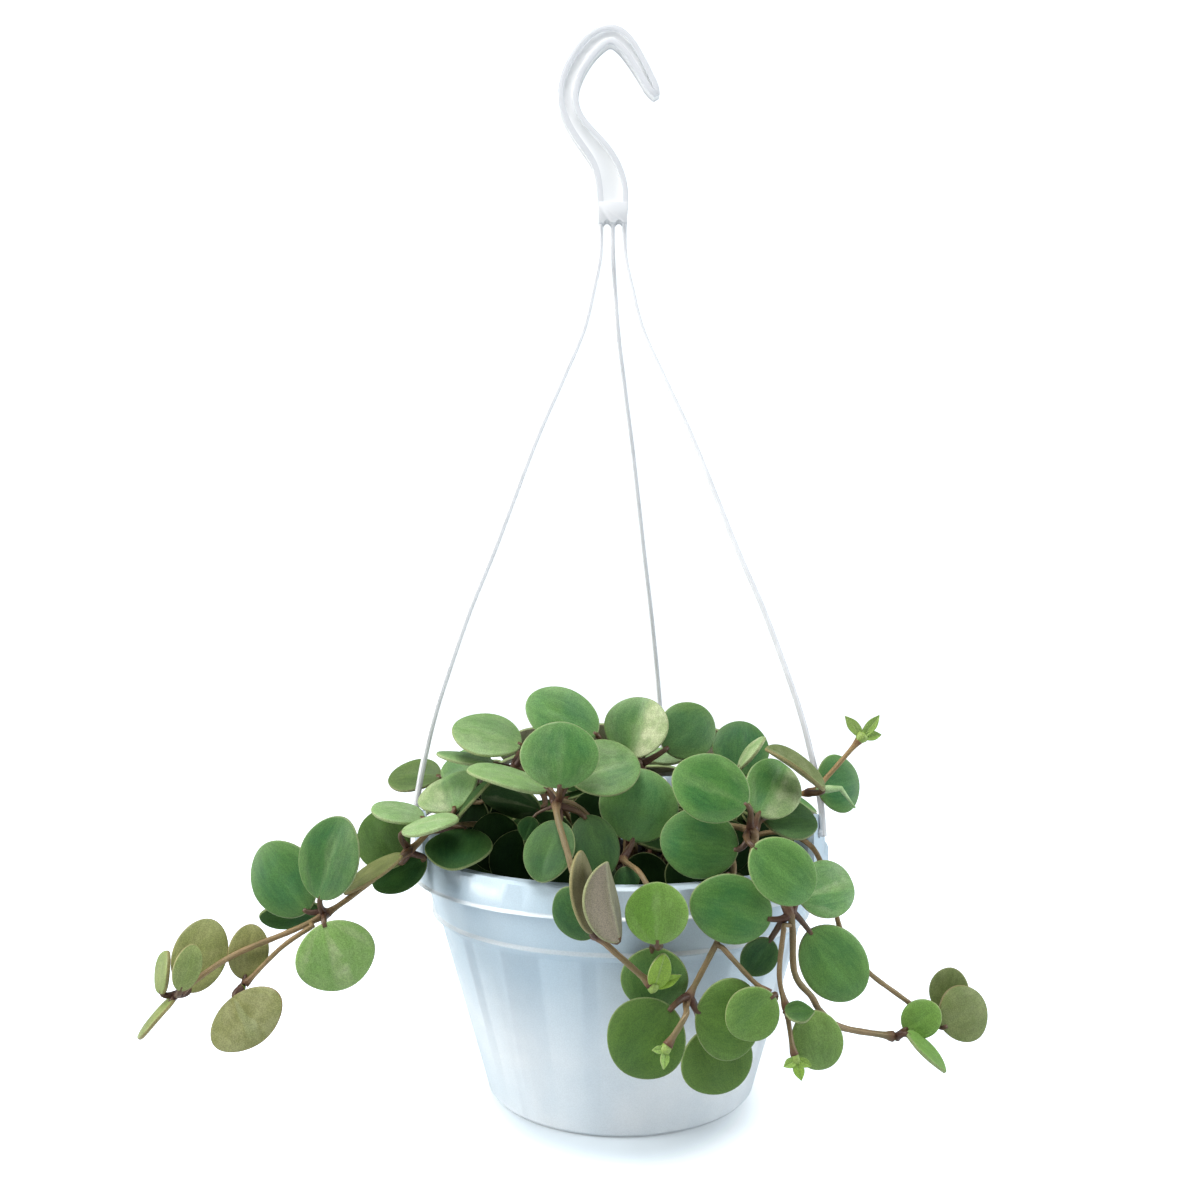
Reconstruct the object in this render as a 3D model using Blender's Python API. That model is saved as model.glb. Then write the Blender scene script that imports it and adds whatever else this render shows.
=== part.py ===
"""Potted peperomia in a white hanging pot: pot, soil, moulded hanger, stems and leaf whorls.

Run it with: blender --background --python part.py
The origin is the middle of the pot's flat underside, X is to the right, Y to the back, Z up.
The driving sizes and the vine tables are in millimetres, and the meshes are built in metres.
"""

import math

import bmesh
import bpy
from mathutils import Vector

MM = 0.001
GAP = 0.3  # air between two touching pieces
SEGMENTS = 40  # sides of every turned piece
ROUND_SIDES = 10  # sides of the small round bars
SHARP_ANGLE = 40.0
CUT_MARGIN = 2.0  # how far a cutting tool reaches past the piece

# Pot
LIP_RADIUS = 75.0
LIP_TOP = 88.0
LIP_BOTTOM = 78.0
LIP_SKIRT = 1.6
BAND_TOP_RADIUS = 70.5
BAND_BOTTOM = 65.0
BAND_BOTTOM_RADIUS = 67.4
BODY_TOP_RADIUS = 66.0
BASE_RADIUS = 48.0
WALL = 1.5
FLOOR = 2.0
DRAIN_RADIUS = 3.0
DRAIN_RING = 30.0
DRAIN_COUNT = 5

# Ears that the hanger clips into: directions clockwise from the back, seen from above
EAR_DIRECTIONS = (-112.0, 15.0, 118.0)
EAR_INNER = 73.0
EAR_OUTER = 75.0
EAR_HALF_WIDTH = 6.0
EAR_FOOT = 84.0
EAR_CENTRE = 97.0
EAR_HOLE_RADIUS = 1.9
EAR_HOLE_SIDES = 12
EAR_ARC_STEPS = 8

# Soil
SOIL_TOP = 75.7
SOIL_FLAT_RADIUS = 37.0
SOIL_SURFACE_RADIUS = 66.5
SOIL_SLACK = 0.6  # air between the soil and the wall
SOIL_DIP = 0.6  # how much lower the uneven part of the soil is
SOIL_WAVES = ((5, 0.0, 0.9), (11, 1.0, 0.7))  # count round the pot, phase and height of its waves
SOIL_WAVE_INSET = 5.0

# Hanger: the middle line of the hook as x, z and the width of its band there
HOOK_LINE = (
    (-2.7, 317.0, 10.6), (-2.7, 323.4, 11.4), (-3.5, 328.5, 11.0), (-5.3, 334.2, 9.9),
    (-8.6, 339.3, 9.0), (-13.4, 345.0, 8.0), (-16.8, 349.8, 7.2), (-18.8, 355.2, 7.2),
    (-19.2, 360.6, 7.5), (-17.9, 366.2, 7.7), (-14.8, 372.2, 7.7), (-10.0, 378.2, 7.7),
    (-4.4, 381.9, 7.9), (0.6, 379.6, 7.0), (4.6, 374.2, 6.2), (9.0, 366.6, 5.3),
    (13.2, 358.8, 4.7),
)
HOOK_DEPTH = 5.0
HOOK_FLANGE = 2.2
HOOK_WEB = 1.2
BLOCK_CENTRE = (-2.8, 316.2)
BLOCK_SIZE = (10.4, 5.6, 7.4)
STRAND_RADIUS = 0.9
STRAND_SIDES = 6
STRAND_STEP = 14.0
STRAND_DROP = 8.0  # straight length under the block
STRAND_ROOTS = (-4.3, 0.0, 4.3)
STRAND_ROOT_Z = 315.0
# How far out each strand is on its way to its ear, as a share of the whole, and its height
STRAND_FALL = (
    (0.006, 300.0), (0.04, 289.0), (0.10, 273.0), (0.22, 254.0), (0.37, 231.0), (0.58, 194.0),
    (0.72, 171.0), (0.84, 148.0), (0.90, 135.0), (0.94, 124.0), (0.97, 114.0), (0.99, 105.0),
)
STRAND_END_RADIUS = EAR_OUTER + GAP + STRAND_RADIUS + 0.2
PEG_RADIUS = 1.5
PEG_SIDES = 8
PEG_HEAD_RADIUS = 2.7
PEG_HEAD_LENGTH = 1.4

# Leaves
LEAF_THICKNESS = 1.1
LEAF_CUP = 0.04  # rise of the margins, as a share of the width
STALK_RADIUS = 0.5
STALK_STATIONS = (0.6, 0.0)
STALK_BEND = 0.35  # how far its bends lie from its ends, as a share of its reach
STEM_STEP = 8.0
STEM_FOOT = 3.0
COLLAR_WALL = 1.2
COLLAR_HALF_HEIGHT = 1.1
COLLAR_SIDES = 6
BUD_RADIUS = 1.2
# Along a blade: distance from its base and half width, as shares of the length and width
BLADE = ((0.0, 0.05), (0.08, 0.27), (0.29, 0.46), (0.56, 0.49), (0.83, 0.36), (0.98, 0.12))

# Each vine: stem radius, the points that its stem runs through, then its whorls.
# Each whorl: the point on the stem, then its leaves.
# Each leaf: x, y, z of its middle, turn and lift of its upper face (turn 0 faces -Y and 90
# faces +X), aim of its tip (0 up and 90 towards +X, seen from -Y), length, width.
VINES = {
    "left": (1.1,
        ((-16, -10, 76), (-40, -28, 97), (-61, -39, 99), (-70, -45, 93), (-95, -56, 75), (-121, -66, 65),
         (-135, -72, 56)),
        (((-61, -39, 99), ((-74, -43, 105, 45, 72, -78, 18, 16), (-58, -35, 110, -25, 48, -25, 17, 21),
                           (-48, -46, 111, -84, 40, 40, 19, 12), (-53, -51, 95, -15, 55, 180, 17, 22))),
         ((-70, -45, 93), ((-62, -53, 103, -50, 72, 72, 19, 14), (-80, -36, 95, -20, 25, -40, 23, 19),
                           (-74, -40, 84.5, 0, 5, -118, 20, 12))),
         ((-95, -56, 75), ((-92, -61, 94, -15, 5, 15, 27, 20), (-109, -53, 85.6, -10, 10, -40, 27, 21),
                           (-108, -48, 73, 20, -40, -80, 20, 14), (-90, -63, 64, 10, 5, 160, 22, 24))),
         ((-135, -72, 56), ((-132, -64, 64.5, 20, 22, 16, 23, 16), (-131, -78, 65, 30, 5, 20, 14, 8),
                            (-140, -73, 62, -50, 10, -15, 13, 10),
                            (-141.5, -75, 49, -75, 42, -133, 16, 12))))),
    "left_low": (0.9,
        ((-98, -59.6, 72.4), (-107, -63, 66.5), (-116.5, -69, 57)),
        (((-116.5, -69, 57), ((-117.5, -62, 65, 20, 15, 8, 17, 12),
                              (-114, -75, 48.5, 0, 15, 145, 16.5, 23))),)),
    "upper_left": (1.0,
        ((-9, -3, 76), (-20, -17, 101), (-28, -27, 111), (-36, -36, 119), (-42, -28, 110),
         (-49, -23, 105), (-56, -21, 106), (-61, -19, 108)),
        (((-28, -27, 111), ((-37, -39, 108, 160, 42, -90, 21, 18),)),
         ((-36, -36, 120), ((-45, -40, 130, 20, 55, -75, 24, 21), (-52, -37, 122, 60, 78, -75, 21, 12),
                            (-45, -24, 124, 20, 78, -75, 18, 12))),
         ((-56, -21, 106), ((-73, -15, 112.5, -20, 55, -74, 20, 16),
                            (-54, -22, 117, -10, 48, -30, 16, 18))))),
    "front": (1.2,
        ((-2, -14, 76), (-12, -42, 104), (-21, -62, 111), (-17, -76, 98), (-12, -80.5, 82),
         (-8.5, -82, 76), (7.5, -84, 62)),
        (((-21, -62, 111), ((-20, -66, 127, 0, 5, 0, 21, 24), (-6, -56, 121, 10, 40, 60, 24, 20),
                            (-37, -55, 118, 53, 71, -68, 27, 17), (-23, -69, 98, -20, 28, 190, 20, 16),
                            (-9, -65, 99, 15, 25, 165, 20, 15))),
         ((-8.5, -82, 76), ((-12, -85.5, 89.5, -118, -8, -12, 25, 13),
                            (-4.5, -89, 87.5, -125, -10, -12, 24, 16),
                            (-14.5, -77, 81, -10, 0, -35, 17.5, 14))),
         ((7.5, -84, 62), ((11, -88.5, 68.5, 10, 5, 10, 11, 8.5),
                           (15.3, -86.8, 64.6, 25, 20, 62, 7, 4.6))))),
    "mid": (1.0,
        ((5, -12, 76), (4, -36, 93), (0, -57, 93), (5, -75, 92), (10, -81, 82), (10, -81, 74)),
        (((0, -57, 93), ((5, -52, 109, 0, 10, 10, 24, 25), (-7, -59, 88, 10, 10, -130, 10, 10))),
         ((10, -81, 74), ((9, -88, 84, 0, 10, 0, 18, 18), (9, -73, 60, -5, -5, 175, 20, 20))))),
    "crown": (1.0,
        ((3, 0, 76), (9, -20, 106), (6, -38, 120), (-6, -42, 126)),
        (((6, -38, 120), ((5, -42, 133, -15, 20, 10, 21, 21), (22, -34, 131, 10, 15, 50, 21, 19))),
         ((-6, -42, 126), ((-20, -44, 137, -5, 20, -60, 27, 18),)))),
    "upper_right": (0.9,
        ((15, 3, 76), (26, -20, 104), (36, -36, 112)),
        (((36, -36, 112), ((40, -33, 125, 5, 25, 10, 20, 19), (42, -45, 125, -80, 37, 35, 14, 9))),)),
    "right": (1.2,
        ((12, -14, 76), (26, -46, 100), (39, -69, 104), (39, -71, 96), (42, -73, 89), (50, -74, 80),
         (51, -76, 63), (56, -77, 56), (59, -75, 51), (66, -72, 45), (83, -66, 40)),
        (((39, -69, 104), ((26, -73, 118, -5, 12, -65, 25, 20), (47, -57, 115, 20, 30, 35, 22, 18),
                           (53, -56, 105, 20, 45, 80, 19, 15), (23, -67, 100, -10, 10, -80, 25, 21),
                           (47, -79, 94, 10, 5, 130, 24, 18))),
         ((50, -74, 81), ((32, -76, 82, 5, 5, -75, 26, 20), (62, -68, 86, 20, 25, 70, 21, 17),
                          (64, -71, 64, 10, 0, 142, 27, 20), (41, -71, 66, 0, -10, -150, 14, 11))),
         ((83, -66, 40), ((93, -62, 44, -20, 10, 55, 13.5, 11), (93, -68, 36, 70, 45, 130, 17, 11))))),
    "right_tip": (0.9,
        ((48, -75.3, 77), (46, -79, 63), (48, -80, 53), (49, -84, 44), (49.6, -85, 41.5)),
        (((48, -80, 54), ((57, -80, 44, 0, 5, 170, 18, 15),)),
         ((49.6, -85, 41.5), ((47.1, -86.8, 38.6, 0, 20, -100, 3.8, 2.8),
                              (51.2, -87, 35.8, 0, 10, 172, 4.8, 3.2),
                              (53.6, -85.9, 38.6, 10, 20, 100, 4, 2.6))))),
    "lower": (1.1,
        ((16, -12, 76), (30, -44, 97), (34, -62, 94), (32, -72, 85), (29, -74, 74), (19, -78, 56),
         (17.5, -86, 53.5), (12, -89.5, 46)),
        (((19, -78, 56), ((6, -84, 46, -5, 10, -140, 24, 23), (28, -73, 35, 5, 0, 155, 21, 22),
                          (31, -79, 50, 8, 10, 103, 21, 23))),
         ((12, -89.5, 46), ((8.6, -91.5, 45, -10, 20, -78, 4.2, 2.6),
                            (10.6, -92, 41.3, 10, 10, 182, 4.8, 3))))),
    "lower_branch": (0.9,
        ((29.2, -76.3, 70.6), (38, -79, 61.5), (43, -80, 58)),
        (((43, -80, 58), ((37, -86, 54, 0, 5, -130, 17, 15),)),)),
    "side_right": (1.0,
        ((28, -12, 76), (48, -32, 96), (61, -46, 95), (66, -54, 82), (69, -60, 69), (76, -61, 59),
         (87, -58, 50), (98, -57, 42)),
        (((98, -57, 42), ((105, -51, 49, -20, 10, 10, 15, 12), (107, -60, 45, 10, 10, 60, 17, 17))),)),
    "shoot": (1.0,
        ((22, -6, 76), (44, -28, 106), (60, -51, 113), (66, -50, 118), (76.5, -50, 130)),
        (((60, -51, 113), ((54, -60, 122, 60, 50, -50, 23, 11), (72, -38, 113.8, 15, 10, 76, 16, 19))),
         ((76.5, -50, 130), ((74.6, -50.5, 135.4, -20, 20, -54, 6, 3),
                             (80.6, -50, 135.6, 10, 20, 48, 5, 2.8),
                             (81.2, -50, 132.2, 20, 10, 112, 4, 2.6))))),
}

# The side turned away, where the leaves of a whorl fan out evenly in one plane.
# Each whorl: the point on the stem, turn and lift of the plane, the turn of each leaf's tip
# in it (0 up, growing clockwise), length.
BACK_VINES = {
    "back_left": (1.1,
        ((-12, 12, 76), (-28, 36, 101), (-40, 54, 103), (-51, 69, 93), (-55, 75, 79)),
        (((-40, 54, 103), -143, 40, (-75, 15, 100), 21), ((-55, 75, 78), -143, 5, (-80, 70, 175), 21))),
    "back": (1.1,
        ((-2, 14, 76), (-5, 40, 102), (-5, 60, 105), (-5, 78, 97), (-4, 85, 81)),
        (((-5, 58, 105), 180, 40, (-90, 0, 90), 20), ((-4, 86, 78), 178, 5, (-80, 70, 180), 22))),
    "back_right": (1.1,
        ((12, 10, 76), (34, 34, 101), (46, 46, 103), (59, 61, 93), (64, 66, 77)),
        (((46, 46, 103), 137, 40, (-85, 5, 95), 22), ((64, 66, 76), 137, 5, (-70, 80, 180), 21))),
    "side_left": (1.0,
        ((-18, 4, 76), (-40, 12, 98), (-56, 18, 101)),
        (((-55, 18, 101), -110, 55, (-80, 15, 110), 20),)),
    "side_back": (1.0,
        ((18, 6, 76), (44, 10, 99), (60, 12, 101)),
        (((59, 12, 101), 100, 55, (-90, 0, 90), 20),)),
    "middle": (1.0,
        ((2, 8, 76), (2, 14, 96), (0, 20, 106)),
        (((0, 20, 105), 180, 70, (-60, 30, 120, -150), 21),)),
}
FAN_STALK = 5.0
FAN_RISE = 2.6
FAN_WIDTH_SHARE = 0.93
# End of the vine tables


def clear_scene():
    """Empty the scene."""
    for thing in list(bpy.data.objects):
        bpy.data.objects.remove(thing, do_unlink=True)


def material(name, colour, roughness, metallic=0.0):
    """A plain Principled material."""
    made = bpy.data.materials.new(name)
    made.use_nodes = True
    shader = made.node_tree.nodes["Principled BSDF"]
    shader.inputs["Base Color"].default_value = (*colour, 1.0)
    shader.inputs["Roughness"].default_value = roughness
    shader.inputs["Metallic"].default_value = metallic
    made.diffuse_color = (*colour, 1.0)
    return made


def add_object(name, mesh, finish):
    """Link a mesh as a named object with one material."""
    mesh.materials.clear()
    if finish is not None:
        mesh.materials.append(finish)
    made = bpy.data.objects.new(name, mesh)
    bpy.context.scene.collection.objects.link(made)
    return made


def mesh_from(name, points, faces):
    """A mesh from points in millimetres, with its faces turned outwards."""
    mesh = bpy.data.meshes.new(name)
    bm = bmesh.new()
    corners = [bm.verts.new(Vector(p) * MM) for p in points]
    for face in faces:
        bm.faces.new([corners[i] for i in face])
    bmesh.ops.recalc_face_normals(bm, faces=bm.faces)
    bm.to_mesh(mesh)
    bm.free()
    return mesh


def joined(target, tool, operation="UNION"):
    """Apply one Boolean to target and remove the tool."""
    cut = target.modifiers.new("cut", "BOOLEAN")
    cut.operation = operation
    cut.solver = "EXACT"
    cut.object = tool
    bpy.context.view_layer.update()
    result = bpy.data.meshes.new_from_object(target.evaluated_get(bpy.context.evaluated_depsgraph_get()))
    old = target.data
    target.modifiers.clear()
    target.data = result
    bpy.data.meshes.remove(old)
    bpy.data.objects.remove(tool, do_unlink=True)
    return target


def turned(name, profile):
    """Turn a closed outline of radius and height about the Z axis; a radius of 0 is a pole."""
    points = []
    rows = []
    for radius, height in profile:
        if radius == 0:
            rows.append([len(points)] * SEGMENTS)
            points.append((0, 0, height))
            continue
        rows.append(list(range(len(points), len(points) + SEGMENTS)))
        for k in range(SEGMENTS):
            angle = 2 * math.pi * k / SEGMENTS
            points.append((radius * math.cos(angle), radius * math.sin(angle), height))
    faces = []
    starts_at_axis = profile[0][0] == 0
    for i in range(len(rows) - 1 if starts_at_axis else len(rows)):
        low, high = rows[i], rows[(i + 1) % len(rows)]
        for k in range(SEGMENTS):
            n = (k + 1) % SEGMENTS
            face = list(dict.fromkeys((low[k], low[n], high[n], high[k])))
            faces.append(face)
    return mesh_from(name, points, faces)


def smooth_line(points, step):
    """Points along a smooth curve through the given ones, about one for every step."""
    ends = [2 * points[0] - points[1]] + list(points) + [2 * points[-1] - points[-2]]
    line = []
    for i in range(len(points) - 1):
        a, b, c, d = ends[i:i + 4]
        count = max(1, round((c - b).length / step))
        for k in range(count):
            t = k / count
            line.append(0.5 * (2 * b + (c - a) * t + (2 * a - 5 * b + 4 * c - d) * t * t
                               + (3 * b - a - 3 * c + d) * t ** 3))
    line.append(points[-1].copy())
    return line


def across(direction, hint):
    """The part of hint that is square to direction, as a unit vector."""
    side = hint - direction * hint.dot(direction)
    if side.length < 0.05:
        side = direction.orthogonal()
    return side.normalized()


def loft(name, rings):
    """A closed skin through rings of the same number of points."""
    count = len(rings[0])
    points = [p for ring in rings for p in ring]
    faces = [list(range(count)), list(range(len(points) - count, len(points)))]
    for i in range(len(rings) - 1):
        for k in range(count):
            n = (k + 1) % count
            faces.append([i * count + k, i * count + n, (i + 1) * count + n, (i + 1) * count + k])
    return mesh_from(name, points, faces)


def tube_rings(line, radius, sides):
    """Round rings along a line, turned as little as possible from one to the next."""
    rings = []
    side = None
    for i, point in enumerate(line):
        forward = (line[min(i + 1, len(line) - 1)] - line[max(i - 1, 0)]).normalized()
        side = across(forward, side if side is not None else forward.orthogonal())
        other = forward.cross(side)
        angles = [2 * math.pi * k / sides for k in range(sides)]
        rings.append([point + radius * (math.cos(a) * side + math.sin(a) * other) for a in angles])
    return rings


def box(name, centre, size):
    """A box in millimetres."""
    x, y, z = (s / 2 for s in size)
    points = [(centre[0] + i * x, centre[1] + j * y, centre[2] + k * z)
              for i in (-1, 1) for j in (-1, 1) for k in (-1, 1)]
    faces = [(0, 1, 3, 2), (4, 5, 7, 6), (0, 1, 5, 4), (2, 3, 7, 6), (0, 2, 6, 4), (1, 3, 7, 5)]
    return mesh_from(name, points, faces)


def ear_axes(direction):
    """Outward and sideways unit vectors of an ear."""
    angle = math.radians(direction)
    outward = Vector((math.sin(angle), math.cos(angle), 0))
    return outward, Vector((0, 0, 1)).cross(outward)


def cylinder_along(name, start, end, radius, sides):
    """A straight round bar between two points."""
    return loft(name, tube_rings([Vector(start), Vector(end)], radius, sides))


def pot_profile():
    """Outline of the pot's wall: up the outside, round the lip, down the inside."""
    inner_base = BASE_RADIUS - WALL
    return [
        (0, 0), (BASE_RADIUS - 1.2, 0), (BASE_RADIUS, 1.2), (BODY_TOP_RADIUS, BAND_BOTTOM - 0.4),
        (BAND_BOTTOM_RADIUS, BAND_BOTTOM), (BAND_TOP_RADIUS, LIP_BOTTOM),
        (BAND_TOP_RADIUS + 0.4, LIP_TOP - WALL), (LIP_RADIUS - LIP_SKIRT, LIP_TOP - WALL),
        (LIP_RADIUS - LIP_SKIRT, LIP_BOTTOM), (LIP_RADIUS, LIP_BOTTOM),
        (LIP_RADIUS, LIP_TOP - 0.8), (LIP_RADIUS - 0.8, LIP_TOP), (BAND_TOP_RADIUS, LIP_TOP),
        (BAND_TOP_RADIUS - WALL + 0.4, LIP_TOP - 1.2), (BAND_TOP_RADIUS - WALL, LIP_BOTTOM),
        (BAND_BOTTOM_RADIUS - WALL, BAND_BOTTOM), (BODY_TOP_RADIUS - WALL, BAND_BOTTOM - 1.6),
        (inner_base, FLOOR + 1.0), (inner_base - 1.0, FLOOR), (0, FLOOR),
    ]


def make_pot(finish):
    """The pot with its three ears and the drain holes."""
    pot = add_object("pot", turned("pot", pot_profile()), finish)
    for direction in EAR_DIRECTIONS:
        outward, side = ear_axes(direction)
        rings = []
        for radius in (EAR_INNER, EAR_OUTER):
            foot = outward * radius + Vector((0, 0, EAR_FOOT))
            ring = [foot - side * EAR_HALF_WIDTH, foot + side * EAR_HALF_WIDTH]
            for k in range(EAR_ARC_STEPS + 1):
                angle = math.pi * k / EAR_ARC_STEPS
                ring.append(outward * radius + side * EAR_HALF_WIDTH * math.cos(angle)
                            + Vector((0, 0, EAR_CENTRE + EAR_HALF_WIDTH * math.sin(angle))))
            rings.append(ring)
        joined(pot, add_object("ear", loft("ear", rings), None))
        middle = Vector((0, 0, EAR_CENTRE))
        hole = cylinder_along("hole", outward * (EAR_INNER - CUT_MARGIN) + middle,
                              outward * (EAR_OUTER + CUT_MARGIN) + middle, EAR_HOLE_RADIUS, EAR_HOLE_SIDES)
        joined(pot, add_object("hole", hole, None), "DIFFERENCE")
    for k in range(DRAIN_COUNT):
        angle = 2 * math.pi * (k + 0.25) / DRAIN_COUNT
        x, y = DRAIN_RING * math.cos(angle), DRAIN_RING * math.sin(angle)
        hole = cylinder_along("drain", (x, y, -CUT_MARGIN), (x, y, FLOOR + CUT_MARGIN), DRAIN_RADIUS,
                              ROUND_SIDES)
        joined(pot, add_object("drain", hole, None), "DIFFERENCE")
    return pot


def make_soil(finish):
    """The block of soil, flat where the stems come out and uneven further out."""
    top = SOIL_SURFACE_RADIUS
    profile = [
        (0, FLOOR + GAP), (BASE_RADIUS - WALL - SOIL_SLACK - 1.0, FLOOR + GAP),
        (BASE_RADIUS - WALL - SOIL_SLACK, FLOOR + 1.2),
        (BODY_TOP_RADIUS - WALL - SOIL_SLACK, BAND_BOTTOM - 2.0), (top, SOIL_TOP - SOIL_DIP - 0.4),
        (top * 0.8, SOIL_TOP - SOIL_DIP), (SOIL_FLAT_RADIUS, SOIL_TOP), (0, SOIL_TOP),
    ]
    mesh = turned("soil", profile)
    inner, outer = SOIL_FLAT_RADIUS + SOIL_WAVE_INSET, top - SOIL_WAVE_INSET
    for vertex in mesh.vertices:
        radius = math.hypot(vertex.co.x, vertex.co.y) / MM
        if vertex.co.z > BAND_BOTTOM * MM and inner < radius < outer:
            angle = math.atan2(vertex.co.y, vertex.co.x)
            vertex.co.z += sum(height * math.sin(count * angle + phase)
                               for count, phase, height in SOIL_WAVES) * MM
    return add_object("soil", mesh, finish)


def hook_edges(inset, last):
    """Both edges of the hook's band, moved in by inset, as lists of x and z."""
    line = [Vector((x, z)) for x, z, _ in HOOK_LINE[:last]]
    widths = [w for _, _, w in HOOK_LINE[:last]]
    left, right = [], []
    for i, point in enumerate(line):
        forward = (line[min(i + 1, len(line) - 1)] - line[max(i - 1, 0)]).normalized()
        side = Vector((-forward.y, forward.x))
        half = widths[i] / 2 - inset
        left.append(point + side * half)
        right.append(point - side * half)
    return left, right, line


def hook_plate(name, inset, last, round_tip, y_low, y_high):
    """A plate in the shape of the hook between two depths."""
    left, right, line = hook_edges(inset, last)
    outline = list(left)
    if round_tip:
        forward = (line[-1] - line[-2]).normalized()
        half = (left[-1] - right[-1]).length / 2
        outline.append(line[-1] + (left[-1] - line[-1]) * 0.6 + forward * half * 0.8)
        outline.append(line[-1] + (right[-1] - line[-1]) * 0.6 + forward * half * 0.8)
    outline += reversed(right)
    rings = [[(p.x, y, p.y) for p in outline] for y in (y_low, y_high)]
    return loft(name, rings)


def make_hanger(finish):
    """The moulded hanger: hook, block, three strands and their pegs, all one piece."""
    half = HOOK_DEPTH / 2
    hanger = add_object("hanger", hook_plate("hanger", 0.0, None, True, -half, half), finish)
    for low, high in ((HOOK_WEB / 2, half + 1), (-half - 1, -HOOK_WEB / 2)):
        recess = hook_plate("recess", HOOK_FLANGE, -2, False, low, high)
        joined(hanger, add_object("recess", recess, None), "DIFFERENCE")
    block = box("block", (BLOCK_CENTRE[0], 0, BLOCK_CENTRE[1]), BLOCK_SIZE)
    joined(hanger, add_object("block", block, None))
    for root, direction in zip(STRAND_ROOTS, EAR_DIRECTIONS):
        joined(hanger, add_object("strand", strand_mesh(root, direction), None))
        outward, _ = ear_axes(direction)
        middle = Vector((0, 0, EAR_CENTRE))
        peg_end = EAR_INNER - GAP - PEG_HEAD_LENGTH / 2
        peg = cylinder_along("peg", outward * peg_end + middle, outward * STRAND_END_RADIUS + middle,
                             PEG_RADIUS, PEG_SIDES)
        joined(hanger, add_object("peg", peg, None))
        head = cylinder_along("head", outward * (EAR_INNER - GAP - PEG_HEAD_LENGTH) + middle,
                              outward * (EAR_INNER - GAP) + middle, PEG_HEAD_RADIUS, ROUND_SIDES)
        joined(hanger, add_object("head", head, None))
    return hanger


def strand_mesh(root, direction):
    """One strand, from the block down to its peg."""
    outward, _ = ear_axes(direction)
    top = Vector((BLOCK_CENTRE[0] + root, 0, STRAND_ROOT_Z))
    end = outward * STRAND_END_RADIUS
    points = [top, top - Vector((0, 0, STRAND_DROP))]
    for share, height in STRAND_FALL:
        point = top.lerp(end, share)
        points.append(Vector((point.x, point.y, height)))
    points.append(end + Vector((0, 0, EAR_CENTRE - 1.2)))
    return loft("strand", tube_rings(smooth_line(points, STRAND_STEP), STRAND_RADIUS, STRAND_SIDES))


def facing(turn, lift):
    """The direction that a leaf's upper face looks in."""
    turn, lift = math.radians(turn), math.radians(lift)
    return Vector((math.sin(turn) * math.cos(lift), -math.cos(turn) * math.cos(lift), math.sin(lift)))


def leaf_axes(leaf):
    """Middle, face direction, tip direction, length and width of a leaf in the front table."""
    x, y, z, turn, lift, aim, length, width = leaf
    face = facing(turn, lift)
    aim = math.radians(aim)
    tip = across(face, Vector((math.sin(aim), 0, math.cos(aim))))
    return Vector((x, y, z)), face, tip, length, width


def fan_leaves(node, turn, lift, spins, length):
    """The leaves of a whorl on the far side, as leaf_axes gives them."""
    face = facing(turn, lift)
    up = across(face, Vector((0, 0, 1)))
    right = up.cross(face)
    for spin in spins:
        spin = math.radians(spin)
        tip = math.cos(spin) * up + math.sin(spin) * right
        middle = Vector(node) + tip * (FAN_STALK + length / 2) + face * FAN_RISE
        yield middle, face, tip, length, length * FAN_WIDTH_SHARE


def leaf_mesh(hub, leaf):
    """One leaf with its stalk, which starts inside the hub."""
    middle, face, tip, length, width = leaf
    base = middle - tip * length / 2
    side = face.cross(tip)
    rings = stalk_rings(hub, base, tip, side)
    for share, spread in BLADE:
        half = width * spread
        thick = min(LEAF_THICKNESS / 2, 0.25 + half * 0.2)
        rings.append(leaf_ring(base + tip * length * share, side, face, half, thick, width * LEAF_CUP))
    return loft("leaf", rings)


def stalk_rings(hub, base, tip, side):
    """Rings of a bent stalk from the hub to the base of a blade, untwisted against its side."""
    start, outward = hub_start(hub, base)
    reach = (base - start).length
    bend_a = start + outward * reach * STALK_BEND
    bend_b = base - tip * reach * STALK_BEND
    rings = []
    for t in STALK_STATIONS:
        s = 1 - t
        point = s ** 3 * start + 3 * s * s * t * bend_a + 3 * s * t * t * bend_b + t ** 3 * base
        ahead = s * s * (bend_a - start) + 2 * s * t * (bend_b - bend_a) + t * t * (base - bend_b)
        ahead.normalize()
        side = across(ahead, side)
        rings.append(leaf_ring(point, side, ahead.cross(side), STALK_RADIUS, STALK_RADIUS, 0.0))
    rings.reverse()
    return rings


def leaf_ring(point, flat, deep, half, thick, cup):
    """Six points round a leaf or its stalk, with the margins raised by cup."""
    rise = cup * min(1.0, half / (STALK_RADIUS * 12))
    ring = []
    for across_share, depth_share in ((1, 0), (0.5, 1), (-0.5, 1), (-1, 0), (-0.5, -1), (0.5, -1)):
        lift = rise * across_share ** 2
        ring.append(point + flat * half * across_share + deep * (thick * depth_share + lift))
    return ring


def whorl_hub(line, node, stem_radius):
    """Where a whorl's hub is: its middle, the stem's direction, and the ring's radius or 0 for a bud."""
    nearest = min(range(1, len(line)), key=lambda i: (line[i] - node).length)
    before = (line[nearest] - line[nearest - 1]).normalized()
    if nearest == len(line) - 1:
        return line[-1] + before * (GAP + BUD_RADIUS), before, 0.0
    along = (before + (line[nearest + 1] - line[nearest]).normalized()).normalized()
    lean = along.angle(before)
    return line[nearest], along, stem_radius / math.cos(lean) + COLLAR_HALF_HEIGHT * math.tan(lean) + GAP


def hub_start(hub, base):
    """Where the stalk to a leaf's base starts inside its hub, and the way it leaves."""
    centre, along, inner = hub
    if inner == 0.0:
        return centre, (base - centre).normalized()
    outward = across(along, base - centre)
    return centre + outward * (inner + COLLAR_WALL / 2), outward


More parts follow.
